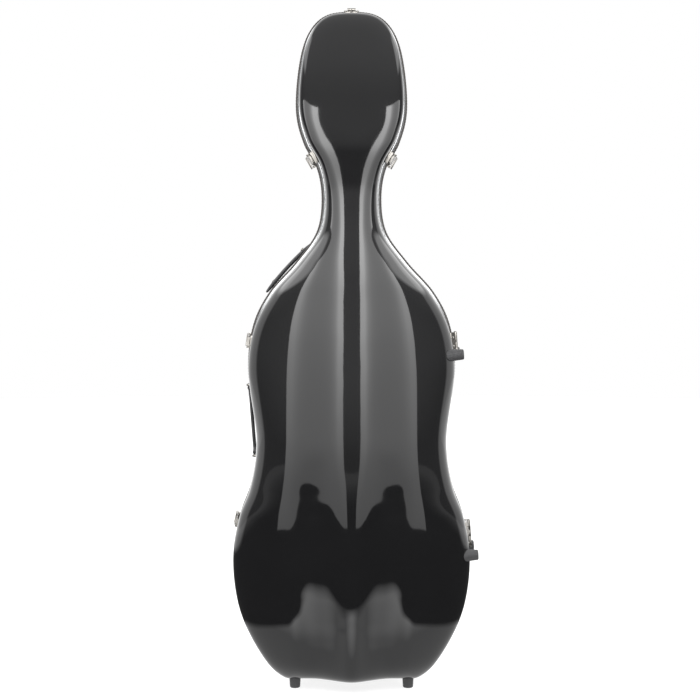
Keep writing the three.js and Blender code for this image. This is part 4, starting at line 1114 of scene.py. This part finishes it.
def make_camera():
    data = bpy.data.cameras.new("camera")
    data.sensor_width = SENSOR
    view_width = PHOTO_SIZE * PIXEL
    data.lens = SENSOR * CAMERA_DISTANCE / view_width
    camera = bpy.data.objects.new("camera", data)
    bpy.context.scene.collection.objects.link(camera)
    seam = Vector((SHIFT.x, SHIFT.y, 0.0))
    camera.location = seam + Vector((0, -CAMERA_DISTANCE, CAMERA_HEIGHT))
    fall = math.atan((CAMERA_HEIGHT - AIM_HEIGHT) / CAMERA_DISTANCE)
    camera.rotation_euler = (math.pi / 2 - fall, 0, 0)
    data.shift_x = -(MIDDLE_PIXEL - PHOTO_SIZE / 2) / PHOTO_SIZE
    bpy.context.scene.camera = camera


def stage_piece(name, shader):
    mesh = bpy.data.meshes.new(name)
    mesh.materials.append(shader.material)
    piece = bpy.data.objects.new(name, mesh)
    bpy.context.scene.collection.objects.link(piece)
    return piece


def add_face(piece, maker):
    bm = bmesh.new()
    maker(bm)
    bm.to_mesh(piece.data)
    bm.free()


def make_floor():
    """White floor to the camera; in reflections it is lit near the case and far behind it."""
    shader = Shader("floor_white")
    rays = shader.tree.nodes.new("ShaderNodeLightPath")
    ahead = shader.parts(shader.place())[1]
    length = {"operation": "LENGTH"}
    away = shader.node("ShaderNodeVectorMath", length, [shader.place()], output="Value")
    oval = shader.node("ShaderNodeVectorMath", length, [shader.place(NEAR_OVAL)], output="Value")
    near = shader.ramp(oval, *NEAR_REACH, 1, 0)
    near = near * (NEAR_LIGHT + shader.ramp(ahead, *NEAR_AHEAD) * NEAR_GLOW)
    far = shader.ramp(away, *FAR_REACH) * shader.ramp(ahead, *FAR_AHEAD) * FAR_LIGHT
    front = shader.ramp(away, *FRONT_REACH) * FRONT_LIGHT
    reflected = shader.node("ShaderNodeEmission", values={"Strength": near + far + front + DARK_FLOOR})
    base = shader.node("ShaderNodeEmission", values={"Strength": FLOOR_GLOW})
    pale = (FLOOR_PALE, FLOOR_PALE, FLOOR_PALE, 1)
    shader.set(Base_Color=pale, Roughness=0.9, Specular_IOR_Level=0.0)
    lit = shader.node("ShaderNodeAddShader", values=[Link(shader, shader.surface.outputs[0]), base])
    glossy = Link(shader, rays.outputs["Is Glossy Ray"])
    mixed = shader.node("ShaderNodeMixShader", values=[glossy, lit, reflected])
    shader.put(shader.output.inputs["Surface"], mixed)

    def disc(bm):
        bmesh.ops.create_circle(bm, cap_ends=True, segments=FLOOR_SIDES, radius=FLOOR_RADIUS)
        bmesh.ops.translate(bm, verts=bm.verts, vec=(0, 0, -FLOOR_DROP))

    add_face(stage_piece("floor", shader), disc)


def make_world():
    """Dark studio in front of the case, white behind it, a light strip high up on each side."""
    world = bpy.data.worlds.new("studio")
    bpy.context.scene.world = world
    world.use_nodes = True
    tree = Tree(world.node_tree)
    rays = tree.tree.nodes.new("ShaderNodeLightPath")
    across, ahead, up = tree.parts(tree.node("ShaderNodeTexCoord"))
    aside = tree.node("ShaderNodeMath", {"operation": "ABSOLUTE"}, [across])
    dark = DARK_ROOM + tree.ramp(up, 0, DARK_RISE) * (DARK_LIFT + tree.ramp(ahead, 0, -1) * DARK_FRONT)
    high = tree.ramp(up, *HIGH_RISE) * HIGH_LIGHT
    white = tree.ramp(ahead, *WHITE_AHEAD) * WHITE_ROOM
    low, full, fade, end = STRIP_RISE
    strip = tree.ramp(up, low, full) * tree.ramp(up, fade, end, 1, 0)
    strip = strip * tree.ramp(aside, *STRIP_SIDE) * STRIP_LIGHT
    seen = Link(tree, rays.outputs["Is Camera Ray"])
    background = tree.tree.nodes["Background"]
    tree.put(background.inputs["Color"], (1, 1, 1, 1))
    tree.put(background.inputs["Strength"], tree.node("ShaderNodeMix", values={
        0: seen, 2: dark + high + white + strip, 3: 1.0}))


def curve_along(shader, value, marks):
    """Light that follows marks of share and level."""
    ramp = shader.node("ShaderNodeFloatCurve", values={"Value": value})
    mapping = ramp.socket.node.mapping
    points = mapping.curves[0].points
    points[0].location = marks[0]
    points[-1].location = marks[-1]
    for mark in marks[1:-1]:
        points.new(*mark)
    mapping.use_clip = False
    mapping.update()
    return ramp


def make_panel(name, side):
    """Upright light panel beside the camera: brightest along its edges and toward its top."""
    shader = Shader(f"light_{name}")
    rays = shader.tree.nodes.new("ShaderNodeLightPath")
    across, up, _ = shader.parts(shader.node("ShaderNodeTexCoord", output="UV"))
    middle = curve_along(shader, across, PANEL_ACROSS) * curve_along(shader, up, PANEL_UP)
    edges = curve_along(shader, across, EDGES_ACROSS) * curve_along(shader, up, EDGES_UP)
    glow = shader.node("ShaderNodeEmission", values={"Strength": middle + edges})
    clear = shader.node("ShaderNodeBsdfTransparent")
    seen = Link(shader, rays.outputs["Is Camera Ray"])
    mixed = shader.node("ShaderNodeMixShader", values=[seen, glow, clear])
    shader.put(shader.output.inputs["Surface"], mixed)
    ends = [Vector((side * PANEL_DISTANCE * math.sin(math.radians(azimuth)),
                    -PANEL_DISTANCE * math.cos(math.radians(azimuth)))) for azimuth in PANEL_AZIMUTHS]

    def sheet(bm):
        bmesh.ops.create_grid(bm, x_segments=1, y_segments=1, size=0.5)
        layer = bm.loops.layers.uv.new("UVMap")
        for face in bm.faces:
            for loop in face.loops:
                loop[layer].uv = (loop.vert.co.x + 0.5, loop.vert.co.y + 0.5)
        for vert in bm.verts:
            spot = ends[0].lerp(ends[1], vert.co.x + 0.5)
            vert.co = (spot.x, spot.y, lerp(PANEL_BOTTOM, PANEL_TOP, vert.co.y + 0.5))

    add_face(stage_piece(f"panel_{name}", shader), sheet)


def make_fill():
    """Broad dim light from above the camera, kept out of reflections."""
    data = bpy.data.lights.new("fill", "AREA")
    data.shape = "RECTANGLE"
    data.size, data.size_y = FILL_SIZE
    data.energy = FILL_ENERGY
    lamp = bpy.data.objects.new("fill", data)
    lamp.visible_glossy = False
    lamp.location = FILL_PLACE
    lamp.rotation_euler = (math.radians(FILL_TILT), 0, 0)
    bpy.context.scene.collection.objects.link(lamp)


make_camera()
make_shells()
make_bands()
make_latches()
make_hinges()
make_feet()
make_handles()
make_rings()
make_pads()
make_neck_strap()
make_bow_holders()
make_floor()
make_world()
make_panel("left", -1)
make_panel("right", 1)
make_fill()

scene = bpy.context.scene
scene.view_settings.view_transform = "Standard"
